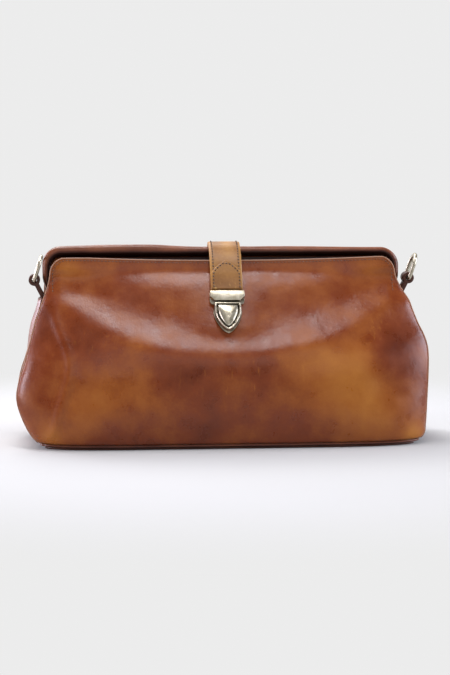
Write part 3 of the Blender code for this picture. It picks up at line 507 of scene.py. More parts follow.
BODY_LEATHER = leather("burnished_cognac", COGNAC, patina=True)
EDGE_LEATHER = leather("dyed_edge", EDGE, roughness=0.42, mottle=0.5)
RIM_LEATHER = leather("rim_leather", RIM_BROWN, roughness=0.33, mottle=0.5, patina=True)
STRAP_LEATHER = leather("strap_tan", TAN, roughness=0.40, mottle=0.8, patina=True, gloss=0.3)
PALE_EDGE_HIGHLIGHT_LEATHER = leather("pale_cut_edge_and_highlight", (THREAD_TAN, PALE_EDGE_AND_HIGHLIGHT, PALE_EDGE_AND_HIGHLIGHT, (0.40, 0.22, 0.14)),
                       roughness=0.55, mottle=0.7, gloss=0.2)
BRASS = antique_brass("antique_brass", (0.36, 0.32, 0.24), (0.05, 0.035, 0.02), 0.33)
DARK_BRASS = antique_brass("tarnished_brass", (0.24, 0.20, 0.135), (0.035, 0.025, 0.015), 0.36)
STEEL = antique_brass("plain_steel", (0.30, 0.30, 0.30), (0.05, 0.05, 0.05), 0.38)
BOARD = fibre_board("fibre_board")
RECESS_SHADE_LEATHER = leather("recess_painted_shade_leather", RECESS_SHADE_BROWN, roughness=0.5, mottle=0.6, gloss=0.25)
SEAM_THREAD = thread("brown_thread", THREAD_BROWN)
STRAP_THREAD = thread("tan_thread", THREAD_TAN)
LINING_CLOTH = woven_cloth("lining_cotton", (0.30, 0.21, 0.13))


# ------------ the leather shells

PATCHES = (         # across, up, half width, half height, how golden (+) or dark (-)
    (-70, 40, 32, 20, 0.16), (-95, 28, 16, 24, 0.14), (75, 50, 26, 20, 0.34),
    (97, 28, 20, 26, 0.32), (62, 63, 20, 8, 0.22), (-30, 46, 22, 14, -0.16),
    (-14, 14, 26, 12, -0.14), (20, 48, 14, 14, -0.14), (116, 62, 16, 18, -0.26),
    (40, 18, 30, 12, -0.10), (-94, 70, 16, 16, -0.20), (-122, 84, 10, 22, -0.22),
    (-106, 119, 12, 8, 0.30), (106, 119, 12, 8, 0.14), (-117, 8, 9, 9, 0.40),
    (128, 8, 8, 9, 0.42), (-60, 70, 10, 6, 0.12), (-60, 100, 30, 12, -0.06))
SCUFFS = (          # across, up, half width, half height, how much is rubbed
    (98, 78, 12, 6, 1.0), (-22, 50, 7, 12, 1.0), (0, 48, 5, 14, 0.8), (17, 47, 7, 12, 1.0),
    (55, 50, 22, 14, 0.5), (-75, 72, 24, 8, 0.5), (-113, 10, 10, 8, 0.7), (124, 10, 10, 8, 0.7))

SHOULDER = (69.5, 34.0, 112, 2.1)       # height in the middle, rise to the corners, reach, power
SHOULDER_SLOPE = 0.24
SHOULDER_REACH = (12.0, 8.5)            # above and below the crease line
TOP_ROLL = (113.5, 4.5, 0.5)            # height, half height and how far it stands out
RIDGE = ((0, -118), (7, -117), (27, -110.6), (57, -103.7), (86, -113.4), (100, -116))
RIDGE_OUT = 1.2
RIDGE_HALF = 3.6
FRONT_WAVES = (                         # out, width, place in the noise, height
    (0.5, 42, 3.7, 30), (0.16, 11, 8.1, 13))
BACK_WAVES = ((0.7, 46, 21.3, 30), (0.16, 12, 14.9, 14))
FOLDS = (-22, -1, 17)                   # where three faint folds cross their middle height
FOLD_MIDDLE = 50
BACK_STEP = (74, 24, 112, 8)    # height in the middle, rise to the corners, reach, half height
CORNER_STEP = 0.75
TOP_MARGIN = 0.35


def patch_sum(patches, x, z):
    return sum(amount * exp(-((x - px) / rx) ** 2 - ((z - pz) / rz) ** 2)
               for px, pz, rx, rz, amount in patches)


def patina(x, y, z):
    # the listed patches, and a little darker towards the foot
    return patch_sum(PATCHES, x, z) - 0.06 * smoothstep(9, 3, z)


def scuff(x, y, z):
    return min(patch_sum(SCUFFS, x, z), 1.0)


def shoulder_height(x):
    """Height of the crease line where the belly of the bag turns toward its mouth."""
    low, rise, reach, power = SHOULDER
    return low + rise * min(abs(x - LOCK_FRAME[0]) / reach, 1.0) ** power


def waves(table, x, z):
    return sum(out * lumps(x / wide, seed, z / high) for out, wide, seed, high in table)


def under_lock(x, z):
    """1 under the lock, where its plate presses the leather flat, and 0 away from it."""
    across = 1 - smoothstep(8, 34, abs(x - LOCK_FRAME[0]))
    return across * smoothstep(66, 82, z) * (1 - smoothstep(104, 112, z))


def front_relief(x, z):
    """How far the leather stands out from the plain shape of the front."""
    fall = shoulder_height(x) - z
    out = SHOULDER_SLOPE * fall * exp(-(fall / SHOULDER_REACH[fall > 0]) ** 2 / 2)
    height, half, stand = TOP_ROLL
    roll = (height - z) / half
    out += stand * roll * exp(-roll * roll / 2) * (1 - smoothstep(70, 100, abs(x)))
    ridge = RIDGE_OUT * bell(x - smooth_value(RIDGE, z), RIDGE_HALF)
    out += ridge * smoothstep(2, 14, z) * (1 - smoothstep(84, 100, z))
    out += waves(FRONT_WAVES, x, z)
    rise = z - FOLD_MIDDLE
    out -= 0.30 * sum(bell(x - middle - 0.05 * rise, 2.2) for middle in FOLDS) * bell(rise, 10)
    return out * (1 - under_lock(x, z)) * (1 - smoothstep(112, 119, z))


def back_relief(x, z):
    """How far the leather stands out from the plain shape of the back."""
    low, rise, reach, half = BACK_STEP
    step = (low + rise * min(abs(x) / reach, 1.0) ** 2 - z) / half
    out = waves(BACK_WAVES, x, z) + 1.1 * step * exp(-step * step / 2)
    return out * (1 - smoothstep(104, 114, z))


def jaw_reach(height, jaw):
    half, top, corner = jaw
    rise = height - (top - corner)
    if rise <= 0:
        return half
    return half - corner + sqrt(max(corner * corner - rise * rise, 0.0))


def face_reaches(height, jaw):
    """How far the face reaches to the left and the right of x = 0 at a height."""
    share = smoothstep(FOLD_BOTTOM, FLARE_TOP, height)
    half = jaw_reach(height, jaw)
    left = smooth_value(LEFT_WIDTH, height) * (1 - share) + (half - JAW_CENTRE_X) * share
    right = smooth_value(RIGHT_WIDTH, height) * (1 - share) + (half + JAW_CENTRE_X) * share
    return left, right


def edge_sag(x, height):
    """How far the front jaw's top edge stands above its plain height: it dips in the middle."""
    dip = max(1 - ((x - 8) / 100) ** 2, 0.0)
    return (1.1 - 2.1 * dip) * smoothstep(108, 124, height)


def face_place(share, height, back=False):
    """A point of the front or back face; share runs from -1 at the left seam to +1 at the right."""
    left, right = face_reaches(height, BACK_JAW if back else FRONT_JAW)
    x = share * (right if share > 0 else left)
    seam = smooth_value(BACK_SEAM if back else FRONT_SEAM, height)
    depth = smooth_value(BACK_DEPTH if back else FRONT_DEPTH, height)
    power = BASE_POWER + (SIDE_POWER - BASE_POWER) * smoothstep(0, SQUARE_TO, height)
    bow = max(1 - abs(share) ** power, 0.0) ** (1 / FACE_POWER)
    out = seam + (depth - seam) * bow
    out += (back_relief if back else front_relief)(x, height) * smoothstep(0.0, 0.25, bow)
    if back:
        return x, out, height
    return x, -out, height + edge_sag(x, height)


def spread_shares(count):
    """Shares from -1 to 1, closer together near the ends, where the face bends round."""
    places = [-1 + 2 * i / count for i in range(count + 1)]
    return [0.55 * place + 0.45 * sin(place * pi / 2) for place in places]


def face_mesh(name, heights, columns, back=False):
    shares = spread_shares(columns)
    rows = [[face_place(share, height, back) for share in shares] for height in heights]
    if back:
        rows = [list(reversed(row)) for row in rows]
    return grid_mesh(name, rows)


def jaw_heights(jaw, step):
    """Heights from the bag's foot to a jaw's top edge, closer together round its corners."""
    _, top, corner = jaw
    return (steps_between(BODY_BOTTOM, top - corner, step)
            + steps_between(top - corner, top - TOP_MARGIN, CORNER_STEP)[1:])


def build_faces():
    """The front and back leathers: each one sheet from the foot to its jaw."""
    for name, jaw, shape, step, columns, nodes in (
            ("front_leather", "front_jaw", FRONT_JAW, 1.3, 210,
             ("front_panel", "front_fold", "front_jaw_leather")),
            ("back_leather", "back_jaw", BACK_JAW, 1.8, 150,
             ("back_panel", "back_fold", "back_jaw_leather"))):
        mesh = face_mesh(name, jaw_heights(shape, step), columns, back=shape is BACK_JAW)
        item = add_object(mesh, BODY_LEATHER, PALE_EDGE_HIGHLIGHT_LEATHER)
        paint(item, patina=patina, scuff=scuff)
        thicken(item, LEATHER, rim_material=1)
        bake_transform(item)
        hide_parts(*nodes)


def edge_path(jaw, back):
    """The outer edge of a face, up the left seam, over the top and down the right seam."""
    heights = jaw_heights(jaw, 1.5)
    left = [face_place(-1, height, back) for height in heights]
    top = [face_place(share, heights[-1], back) for share in spread_shares(120)[1:-1]]
    right = [face_place(1, height, back) for height in reversed(heights)]
    return left + top + right


def edge_bead(along, turn):
    """The cut edge's radius, a little uneven along its length."""
    return EDGE_RADIUS + 0.06 * lumps(along * 220, 2.0, 0)


def build_edge_lines():
    """The pale cut edge that runs round each face of the bag; its paler colour is partly a painted
    highlight.
    """
    for tag, jaw, back in (("front", FRONT_JAW, False), ("back", BACK_JAW, True)):
        mesh = tube_mesh(f"{tag}_cut_edge", edge_path(jaw, back), edge_bead, sides=8)
        item = add_object(mesh, PALE_EDGE_HIGHLIGHT_LEATHER)
        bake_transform(item)


# ------------ gussets, base and lining

GUSSET_COLUMNS = 36
GUSSET_ROWS = 60
OUTLINE_FACE_STEPS = 80
OUTLINE_END_STEPS = 24
LINING_FOOT = (0.04, 0.2, 0.4, 0.6, 0.8, 0.94)          # shares of the outline, from its middle out


def gusset_place(place, height, side):
    """A point of an end of the bag; place runs from -1 at the front seam to 1 at the back."""
    width = smooth_value(RIGHT_WIDTH if side > 0 else LEFT_WIDTH, height)
    bulge = smooth_value(RIGHT_BULGE if side > 0 else LEFT_BULGE, height) * (1 - place * place)
    seam = smooth_value(FRONT_SEAM if place < 0 else BACK_SEAM, height)
    crease = bell(place, 0.16) * smoothstep(20, 60, height)
    ripple = 0.5 * lumps(place * 1.6, side * 5.0, height / 22) * (1 - place**4)
    return side * (width + bulge - crease + ripple), place * seam, height


def build_gussets():
    for side, tag in ((-1, "left"), (1, "right")):
        shares = [-1 + 2 * i / GUSSET_COLUMNS for i in range(GUSSET_COLUMNS + 1)]
        rows = []
        for step in range(GUSSET_ROWS + 1):
            row = []
            for share in shares[::side]:
                top = GUSSET_TOP + GUSSET_RISE * share * share
                height = BODY_BOTTOM + (top - BODY_BOTTOM) * step / GUSSET_ROWS
                inside = 1 - SEAM_LAP / smooth_value(FRONT_SEAM, height)
                row.append(gusset_place(share * inside, height, side))
            rows.append(row)
        item = add_object(grid_mesh(f"{tag}_gusset_leather", rows), BODY_LEATHER, EDGE_LEATHER)
        # the ends are painted a little darker all over, and darker still near the front and back
        # seams
        paint(item, patina=lambda x, y, z: -0.12 - 0.15 * bell(abs(y) - 24, 8),
              scuff=lambda x, y, z: 0.25 * bell(z - 30, 26))
        thicken(item, LEATHER, rim_material=1)
        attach(item, "bag_body")
        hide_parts(f"{tag}_gusset")


def body_outline(height, inset=0.0):
    """The body's whole outline at one height, drawn in by an inset."""
    across = spread_shares(OUTLINE_FACE_STEPS)
    ends = [-1 + 2 * i / OUTLINE_END_STEPS for i in range(1, OUTLINE_END_STEPS)]
    loop = [face_place(share, height) for share in across]
    loop += [gusset_place(place, height, 1) for place in ends]
    loop += [face_place(-share, height, back=True) for share in across]
    loop += [gusset_place(-place, height, -1) for place in ends]
    middle = [Vector((x, y, 0)) for x, y, _ in loop]
    count = len(middle)
    drawn = []
    for i, point in enumerate(middle):
        along = (middle[(i + 1) % count] - middle[i - 1]).normalized()
        drawn.append((point.x - along.y * inset, point.y + along.x * inset, height))
    return drawn


def build_base():
    """The leather base with its piping."""
    outline = body_outline(WELT_Z, WELT_RADIUS * 0.6)
    mesh = tube_mesh("base_piping", outline, lambda along, turn: WELT_RADIUS, sides=10, closed=True,
                     normal=UP)
    piping = add_object(mesh, RIM_LEATHER)
    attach(piping, "bag_body")
    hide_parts("base_welt")
    refined_copy("base_leather", "base_panel", EDGE_LEATHER, 0.5)


def lining_loop(height, share=1.0):
    """The lining's outline at one height, drawn in from the leather and puckered a little."""
    reach = smooth_value(LEFT_WIDTH, height)
    depth = smooth_value(FRONT_DEPTH, height)
    row = []
    for x, y, z in body_outline(height):
        pucker = 1 - 0.012 * (1 + lumps(x / 7, y / 7, z / 26))
        lump = 1 + lumps(x * share / 12, y * share / 12, 5.0)
        row.append((x * (1 - LINING_INSET / reach) * pucker * share,
                    y * (1 - LINING_INSET / depth) * pucker * share,
                    z + 0.25 * (1 - share) * lump))
    return row


def build_lining():
    """The cotton lining: a thin, slightly puckered bag inside the leather, open at the top."""
    rows = [lining_loop(LINING_BOTTOM, share) for share in LINING_FOOT]
    rows += [lining_loop(height) for height in steps_between(LINING_BOTTOM, LINING_TOP, 2.2)]
    item = add_object(grid_mesh("lining_bag", rows, closed=True, foot=True), LINING_CLOTH)
    thicken(item, 0.6)
    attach(item, "bag_body")
    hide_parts("lining")


FLAT_ANGLE = radians(1.5)
BEVEL_ANGLE = radians(28)
SHARP_ANGLE = radians(50)


def finish_node(name, material):
    """Gives a CAD node a finished material."""
    for place in frame["nodes"][name].material_slots:
        place.material = material


def refined_copy(name, node_name, material, bevel, segments=2):
    """A new piece with a CAD node's shape, its flat faces merged and its edges rounded."""
    source = frame["nodes"][node_name]
    work = bmesh.new()
    work.from_mesh(source.data)
    bmesh.ops.remove_doubles(work, verts=work.verts, dist=0.000005)
    bmesh.ops.dissolve_limit(work, angle_limit=FLAT_ANGLE, verts=work.verts, edges=work.edges)
    item = add_object(fill_mesh(bpy.data.meshes.new(name), work), material)
    modifier = item.modifiers.new("soft edges", "BEVEL")
    modifier.width = bevel * MM
    modifier.segments = segments
    modifier.limit_method = "ANGLE"
    modifier.angle_limit = BEVEL_ANGLE
    bake_modifiers(item)
    item.data.set_sharp_from_angle(angle=SHARP_ANGLE)
    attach(item, source["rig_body"])
    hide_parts(node_name)


# ------------ rims of the jaws

CORNER_STEPS = 12
TURN_IN = (119.7, 127.0, 10.0, 103.0, 7.9)              # half width, top, corner, foot and y
FRONT_WRAP = (114.6, 122.8, 9.2, 104.0, -4.45)
TURN_IN_SECTION = ((1.3, -0.6), (1.5, 0.3), (1.2, 1.6), (-1.2, 1.9), (-1.5, 0.6), (-1.1, -0.9),
                   (0.2, -1.1))
WRAP_SECTION = ((1.1, -3.4), (1.9, -2.6), (2.15, -1.2), (2.15, 1.4), (1.8, 2.4), (1.0, 2.9),
                (0.55, 2.4), (0.95, 1.6), (0.95, -1.6), (0.55, -2.4))


def u_path(half, top, corner, bottom, y, step=2.5):
    """Points of an upturned U from its left foot over the top to its right foot."""
    points = [(JAW_CENTRE_X - half, y, z) for z in steps_between(bottom, top - corner, step)]
    for i in range(1, CORNER_STEPS + 1):
        turn = pi / 2 * i / CORNER_STEPS
        points.append((JAW_CENTRE_X - half + corner - corner * cos(turn), y,
                       top - corner + corner * sin(turn)))
    mirrored = [(2 * JAW_CENTRE_X - x, y, z) for x, _, z in reversed(points)]
    middle = steps_between(JAW_CENTRE_X - half + corner, JAW_CENTRE_X + half - corner, step)
    return points + [(x, y, top) for x in middle[1:-1]] + mirrored


def rim_lift(x, z):
    """How far the rim's top stands above its plain height; the strap holds it down."""
    lift = 1.7 * bell(x + 62, 55) * smoothstep(12, 52, abs(x - STRAP_CENTRE_X))
    return (lift - 0.8 * smoothstep(45, 105, x)) * smoothstep(118, 129, z)


def rim_painted_shade(x, y, z):
    """Painted shade on the rim's inner side, under its bead, and a little painted light on its outer
    side.
    """
    across = abs(x - JAW_CENTRE_X) - (RIM_HALF - RIM_CORNER)
    up = z - (RIM_TOP - RIM_CORNER)
    if across < 0:
        outward = up - RIM_CORNER
    elif up < 0:
        outward = across - RIM_CORNER
    else:
        outward = hypot(across, up) - RIM_CORNER
    return 0.12 - 0.75 * (1 - smoothstep(-2.2, 1.2, outward))


def build_rim_cover():
    """The round leather rim over the back jaw's rod, down each side to the hinge."""
    path = u_path(RIM_HALF, RIM_TOP, RIM_CORNER, HINGE_Z, RIM_Y)
    eased = []
    for x, y, z in path:
        inward = (RIM_HALF - RIM_LEG_HALF) * (1 - smoothstep(RIM_LEG_END, RIM_LEG_KNEE, z))
        eased.append((x - copysign(inward, x - JAW_CENTRE_X), y, z))

    def radius(along, turn):
        x, _, z = eased[round(along * (len(eased) - 1))]
        ends = smoothstep(0, 0.015, along) * smoothstep(0, 0.015, 1 - along)
        lump = 0.09 * lumps(along * 34, cos(turn), sin(turn))
        return RIM_RADIUS - 0.6 + 0.6 * ends + lump + rim_lift(x, z) * max(cos(turn), 0.0) ** 2

    item = add_object(tube_mesh("back_rim_leather", eased, radius, sides=20), RIM_LEATHER)
    # painted shade under the rim's bead and painted light along its outer side
    paint(item, patina=rim_painted_shade)
    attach(item, "back_jaw")
    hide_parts("back_rim_cover")


def build_back_turn_in():
    """The edge of the back leather, turned in under the rim."""
    item = add_object(sweep_mesh("back_turn_in", u_path(*TURN_IN), TURN_IN_SECTION), RIM_LEATHER)
    # painted shade: the whole turn-in is painted darker, for the shade under the rim
    paint(item, patina=lambda x, y, z: -0.25)
    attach(item, "back_jaw")


def sweep_mesh(name, path, section):
    """A closed section of (side, back) points carried along a path."""
    places = [Vector(point) for point in path]
    rows = []
    for i, point in enumerate(places):
        along = (places[min(i + 1, len(places) - 1)] - places[max(i - 1, 0)]).normalized()
        side = along.cross(OUT_BACK).normalized()
        rows.append([point + side * across + OUT_BACK * back for across, back in section])
    return grid_mesh(name, rows, closed=True, caps=True)


def build_front_rim():
    """The leather turned over the front jaw's steel band, from the outside over the top."""
    path = [(x, y, z + edge_sag(x, z)) for x, y, z in u_path(*FRONT_WRAP)]
    # painted shade: the wrap is coloured near black for the shade between the jaws
    item = add_object(sweep_mesh("front_rim_wrap", path, WRAP_SECTION), RECESS_SHADE_LEATHER)
    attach(item, "front_jaw")


# ------------ stitching

STITCH_SIDES = 6
STITCH_WIDTH = 1.25             # a stitch lies a little flat
STITCH_SPACING = 2.4
STITCH_RINGS = (                # place along the stitch, size, and height over the leather
    (-0.5, 0.35, -0.25), (-0.32, 0.85, 0.2), (0.0, 1.0, 0.42), (0.32, 0.85, 0.2),
    (0.5, 0.35, -0.25))
JAW_STITCH = (1.7, 0.42)        # length and thickness
STRAP_STITCH = (1.3, 0.72)
JAW_STITCH_INSET = 1.8


def stitch_mesh(name, places, length, thickness):
    """Stitches as short tapered rods: places are (middle, along, out) with unit directions."""
    work = bmesh.new()
    for middle, along, out in places:
        across = along.cross(out).normalized()
        loops = []
        for place, size, lift in STITCH_RINGS:
            centre = middle + along * (place * length) + out * (lift * thickness)
            reach = size * thickness / 2
            loop = []
            for s in range(STITCH_SIDES):
                turn = 2 * pi * s / STITCH_SIDES
                loop.append(work.verts.new(metres(
                    centre + across * (cos(turn) * reach * STITCH_WIDTH)
                    + out * (sin(turn) * reach))))
            loops.append(loop)
        for first, second in zip(loops, loops[1:]):
            for s in range(STITCH_SIDES):
                after = (s + 1) % STITCH_SIDES
                work.faces.new((first[s], first[after], second[after], second[s]))
        work.faces.new(list(reversed(loops[0])))
        work.faces.new(loops[-1])
    bmesh.ops.recalc_face_normals(work, faces=work.faces)
    return fill_mesh(bpy.data.meshes.new(name), work)


def along_line(points):
    """(middle, direction) of each stitch along a line of points."""
    line = [Vector(point) for point in points]
    found = []
    passed = 0.0
    due = STITCH_SPACING / 2
    for start, end in zip(line, line[1:]):
        length = (end - start).length
        while due <= passed + length and length > 0:
            share = (due - passed) / length
            found.append((start.lerp(end, share), (end - start).normalized()))
            due += STITCH_SPACING
        passed += length
    return found


def build_jaw_stitches():
    """The row along the front jaw's top edge and round its corners."""
    half, top, corner = (size - JAW_STITCH_INSET for size in FRONT_JAW)
    surface = []
    for x, _, z in u_path(half, top, corner, 103.0, 0.0, step=1.5):
        left, right = face_reaches(z, FRONT_JAW)
        share = x / (right if x > 0 else left)
        _, y, height = face_place(share, z)
        surface.append((x, y - 0.05, height))
    out = Vector((0, -1, 0.15)).normalized()
    places = [(middle, along, out) for middle, along in along_line(surface)]
    item = add_object(stitch_mesh("front_jaw_stitches", places, *JAW_STITCH), SEAM_THREAD)
    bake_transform(item)


# ------------ strap

CURVE_STEPS = 8                 # between two points of the strap's path
STRAP_EDGE = 0.55               # how far in from its edge the strap is rounded
STRAP_STEP = 0.9
OVERLAY_LIFT = 0.05
OVERLAY_TIP = 0.8
OVERLAY_AT = STRAP_THICKNESS + OVERLAY_LIFT
STRAP_MIDDLE = (REAR_PIVOT_AT + FRONT_PIVOT_AT) / 2


def strap_line():
    """The strap's inner surface as a smooth run of (length, y, z)."""
    count = len(STRAP_PATH)
    points = []
    for i in range(count - 1):
        before, start, end = STRAP_PATH[max(i - 1, 0)], STRAP_PATH[i], STRAP_PATH[i + 1]
        after = STRAP_PATH[min(i + 2, count - 1)]
        for step in range(CURVE_STEPS + (i == count - 2)):
            t = step / CURVE_STEPS
            points.append(tuple(
                0.5 * (2 * b + (c - a) * t + (2 * a - 5 * b + 4 * c - d) * t**2
                       + (3 * b - a - 3 * c + d) * t**3)
                for a, b, c, d in zip(before, start, end, after)))
    line = [(0.0, *points[0])]
    for old, new in zip(points, points[1:]):
        line.append((line[-1][0] + dist(old, new), *new))
    return line


STRAP_LINE = strap_line()
STRAP_LENGTH = STRAP_LINE[-1][0]
CAP_TOP_AT = STRAP_LENGTH - CAP_SHORT
OVERLAY_TIP_AT = CAP_TOP_AT - OVERLAY_LENGTH


def along_strap(length):
    """(y, z) on the strap's inner surface at a length along it."""
    index = max(i for i in range(len(STRAP_LINE) - 1) if STRAP_LINE[i][0] <= length)
    (s0, y0, z0), (s1, y1, z1) = STRAP_LINE[index], STRAP_LINE[index + 1]
    t = (length - s0) / (s1 - s0)
    return y0 + (y1 - y0) * t, z0 + (z1 - z0) * t


def strap_place(at, lift=0.0):
    """(y, z) at a length along the strap and a height over it, and the outward direction."""
    at = min(max(at, 0.0), STRAP_LENGTH)
    y, z = along_strap(at)
    ya, za = along_strap(max(at - 1.0, 0.0))
    yb, zb = along_strap(min(at + 1.0, STRAP_LENGTH))
    length = hypot(yb - ya, zb - za)
    out = ((zb - za) / length, -(yb - ya) / length)
    return y + out[0] * lift, z + out[1] * lift, out


def strap_point(at, lift, across=0.0):
    y, z, _ = strap_place(at, lift)
    return STRAP_CENTRE_X + across, y, z


def strap_section(half, thickness):
    """A strip's section with rounded edges and a shallow groove for each row of stitches."""
    def rounded(across):
        return STRAP_EDGE * max(0.0, 1 - (half - abs(across)) / STRAP_EDGE) ** 2

    section = []
    for share in steps_between(-1, 1, 2 / 24):
        across = share * half
        groove = 0.14 * bell(half - abs(across) - 2.0, 0.45)
        section.append((across, thickness - groove - 0.6 * rounded(across)))
    return section + [(share * half, 0.6 * rounded(share * half))
                      for share in (1, 0.9, 0.0, -0.9, -1)]


def strap_patina(x, y, z):
    """Rubbed golden on top and along the edges, darker toward the hasp."""
    gold = 0.14 * bell(x - 4, 4.5) * smoothstep(122, 131, z)
    gold += 0.16 * smoothstep(8.8, 10.4, abs(x - STRAP_CENTRE_X))
    return gold - 0.16 * (1 - smoothstep(106, 120, z)) * (y < 0)


def strap_scuff(x, y, z):
    return 0.8 * bell(z - 104, 5) * (y < 0) + 0.25


def strap_piece(name, start, end, low, thickness, half_at=None):
    """A stretch of strap leather; low is its height over the strap's inner surface."""
    rows = []
    for at in steps_between(start, end, STRAP_STEP):
        half = half_at(at - start) if half_at else STRAP_HALF_WIDTH
        rows.append([strap_point(at, low + lift, across)
                     for across, lift in strap_section(half, thickness)])
    item = add_object(grid_mesh(name, rows, closed=True, caps=True), STRAP_LEATHER)
    paint(item, patina=strap_patina, scuff=strap_scuff)
    return item


def overlay_half(past_tip):
    """The overlay's half width at a length past the tip of its arch."""
    share = min(past_tip / OVERLAY_ARCH, 1.0)
    return OVERLAY_TIP + (STRAP_HALF_WIDTH - OVERLAY_TIP) * sin(pi / 2 * share)


def bend_strap(item):
    """Bakes a piece of the strap's place into its mesh."""
    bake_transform(item)


def build_strap():
    rear = strap_piece("strap_rear_leather", 0.0, STRAP_MIDDLE, 0.0, STRAP_THICKNESS)
    bend_strap(rear)
    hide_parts("strap_tail")
    front = strap_piece("strap_front_leather", STRAP_MIDDLE, STRAP_LENGTH - LEATHER_SHORT, 0.0,
                        STRAP_THICKNESS)
    bend_strap(front)
    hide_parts("strap_bend_leather", "strap_leather", "strap_backing")
    overlay = strap_piece("strap_overlay_leather", OVERLAY_TIP_AT, CAP_TOP_AT, OVERLAY_AT,
                          STRAP_OVERLAY, overlay_half)
    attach(overlay, "strap")
    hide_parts("strap_overlay")


def strap_stitches(name, at_points, lift):
    """Stitches along a line of (length along the strap, distance across it)."""
    places = []
    for middle, along in along_line([strap_point(at, lift, across) for at, across in at_points]):
        nearest = min(STRAP_LINE, key=lambda entry: hypot(entry[1] - middle.y, entry[2] - middle.z))
        out = strap_place(nearest[0])[2]
        places.append((middle, along, Vector((0, *out))))
    return add_object(stitch_mesh(name, places, *STRAP_STITCH), STRAP_THREAD)


def build_strap_stitches():
    inset = STRAP_HALF_WIDTH - 2.0
    for side, tag in ((-1, "left"), (1, "right")):
        for part, start, end in (("rear", 2.0, STRAP_MIDDLE - 0.5),
                                 ("front", STRAP_MIDDLE + 0.5, OVERLAY_TIP_AT + 8.0)):
            line = [(at, side * inset) for at in steps_between(start, end, 1.0)]
            item = strap_stitches(f"strap_stitches_{part}_{tag}", line, STRAP_THICKNESS)
            bend_strap(item)
    arch = [(OVERLAY_TIP_AT + past, max(overlay_half(past) - 1.9, 0.0))
            for past in steps_between(2.2, 20.0, 0.8)]
    arch = [(at, -across) for at, across in reversed(arch)] + arch
    item = strap_stitches("overlay_stitches", arch, OVERLAY_AT + STRAP_OVERLAY)
    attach(item, "strap")


# ------------ rings and tabs

RING_CORNER = 2.2
RING_CORNER_STEPS = 8
RING_BOW_STEPS = 32


def ring_line(lean):
    """The ring's centre line: a straight bar along Y, rounded at its ends, and a round bow."""
    bow = RING_HALF_WIDTH
    corner = []
    for i in range(RING_CORNER_STEPS + 1):
        turn = pi / 2 * i / RING_CORNER_STEPS
        corner.append((bow - RING_CORNER + RING_CORNER * sin(turn),
                       RING_CORNER - RING_CORNER * cos(turn)))
    points = list(corner)
    for i in range(RING_BOW_STEPS + 1):
        turn = pi * i / RING_BOW_STEPS
        points.append((bow * cos(turn), RING_HEIGHT - bow + bow * sin(turn)))
    points += [(-across, up) for across, up in reversed(corner)]
    return [(up * sin(lean), across, up * cos(lean)) for across, up in points]


def build_rings():
    for side, tag in ((-1, "left"), (1, "right")):
        pivot = Vector((JAW_CENTRE_X + side * ROLL_CENTRE[0], 0, ROLL_CENTRE[1]))
        lean = radians(RING_LEAN[tag])
        points = [pivot + Vector(point) for point in ring_line(lean)]
        mesh = tube_mesh(f"{tag}_ring_wire", points, lambda along, turn: RING_WIRE, sides=20,
                         closed=True, normal=Vector((cos(lean), 0, -sin(lean))))
        item = add_object(mesh, BRASS)
        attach(item, f"{tag}_ring")
        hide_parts(f"{tag}_ring")
        refined_copy(f"{tag}_tab_leather", f"{tag}_ring_tab", EDGE_LEATHER, 0.45, 3)


# ------------ lock and hasp

SHIELD_STEPS = 26
DOME_STEPS = 12


def lock_matrix():
    """From the lock's own axes, with its plate flat, to the bag's."""
    return Matrix.Translation(metres(LOCK_FRAME)) @ Matrix.Rotation(LOCK_TILT, 4, "X")


def shield_outline(grow):
    """The shield's outline, grown or shrunk, from its apex to its top corners."""
    half = SHIELD_HALF + grow
    apex = SHIELD_APEX - grow * SHIELD_POINT
    right = [(half, SHIELD_TOP + grow)]
    for i in range(SHIELD_STEPS):
        share = i / SHIELD_STEPS
        right.append((half * (1 - share**SHIELD_FULLNESS) ** SHIELD_ROUNDING,
                      SHIELD_SHOULDER + (apex - SHIELD_SHOULDER) * share))
    return right + [(0.0, apex)] + [(-x, y) for x, y in reversed(right)]


def build_button():
    """The domed shield button, with a rounded edge and a shallow worn dent low on its face."""
    dent, dent_at, dent_radius = BUTTON_DENT
    levels = [(1.0, BUTTON_FOOT), (1.0, BUTTON_EDGE)]
    for i in range(1, DOME_STEPS):
        turn = pi / 2 * i / DOME_STEPS
        levels.append((cos(turn), BUTTON_EDGE + BUTTON_DOME * sin(turn)))
    rows = []
    for scale, height in levels:
        row = []
        for x, y in shield_outline(-BUTTON_INSET):
            up = y - BUTTON_CENTRE
            turn = atan2(up, x)
            rounded = 1 - scale
            px = (x * scale + BUTTON_OVAL[0] * cos(turn) * rounded) * scale
            py = BUTTON_CENTRE + (up * scale + BUTTON_OVAL[1] * sin(turn) * rounded) * scale
            row.append((px, py, height - dent * bell(hypot(px, py - dent_at), dent_radius)))
        rows.append(row)
    mesh = grid_mesh("lock_button_dome", rows, closed=True, caps=True)
    mesh.transform(lock_matrix())
    item = add_object(mesh, BRASS)
    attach(item, "lock_press")
    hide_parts("lock_button")


def build_spring():
    """The coil spring under the button."""
    low, high = SPRING_SPAN
    coil = []
    for share in steps_between(0, 1, 1 / 72):
        turn = 2 * pi * SPRING_TURNS * share
        coil.append((SPRING_RADIUS * cos(turn), SPRING_MIDDLE + SPRING_RADIUS * sin(turn),
                     low + (high - low) * share))
    mesh = tube_mesh("lock_coil", coil, lambda along, turn: SPRING_WIRE, sides=8, normal=UP)
    mesh.transform(lock_matrix())
    item = add_object(mesh, STEEL)
    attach(item, "bag_body")
    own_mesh(item)
    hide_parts("lock_spring")


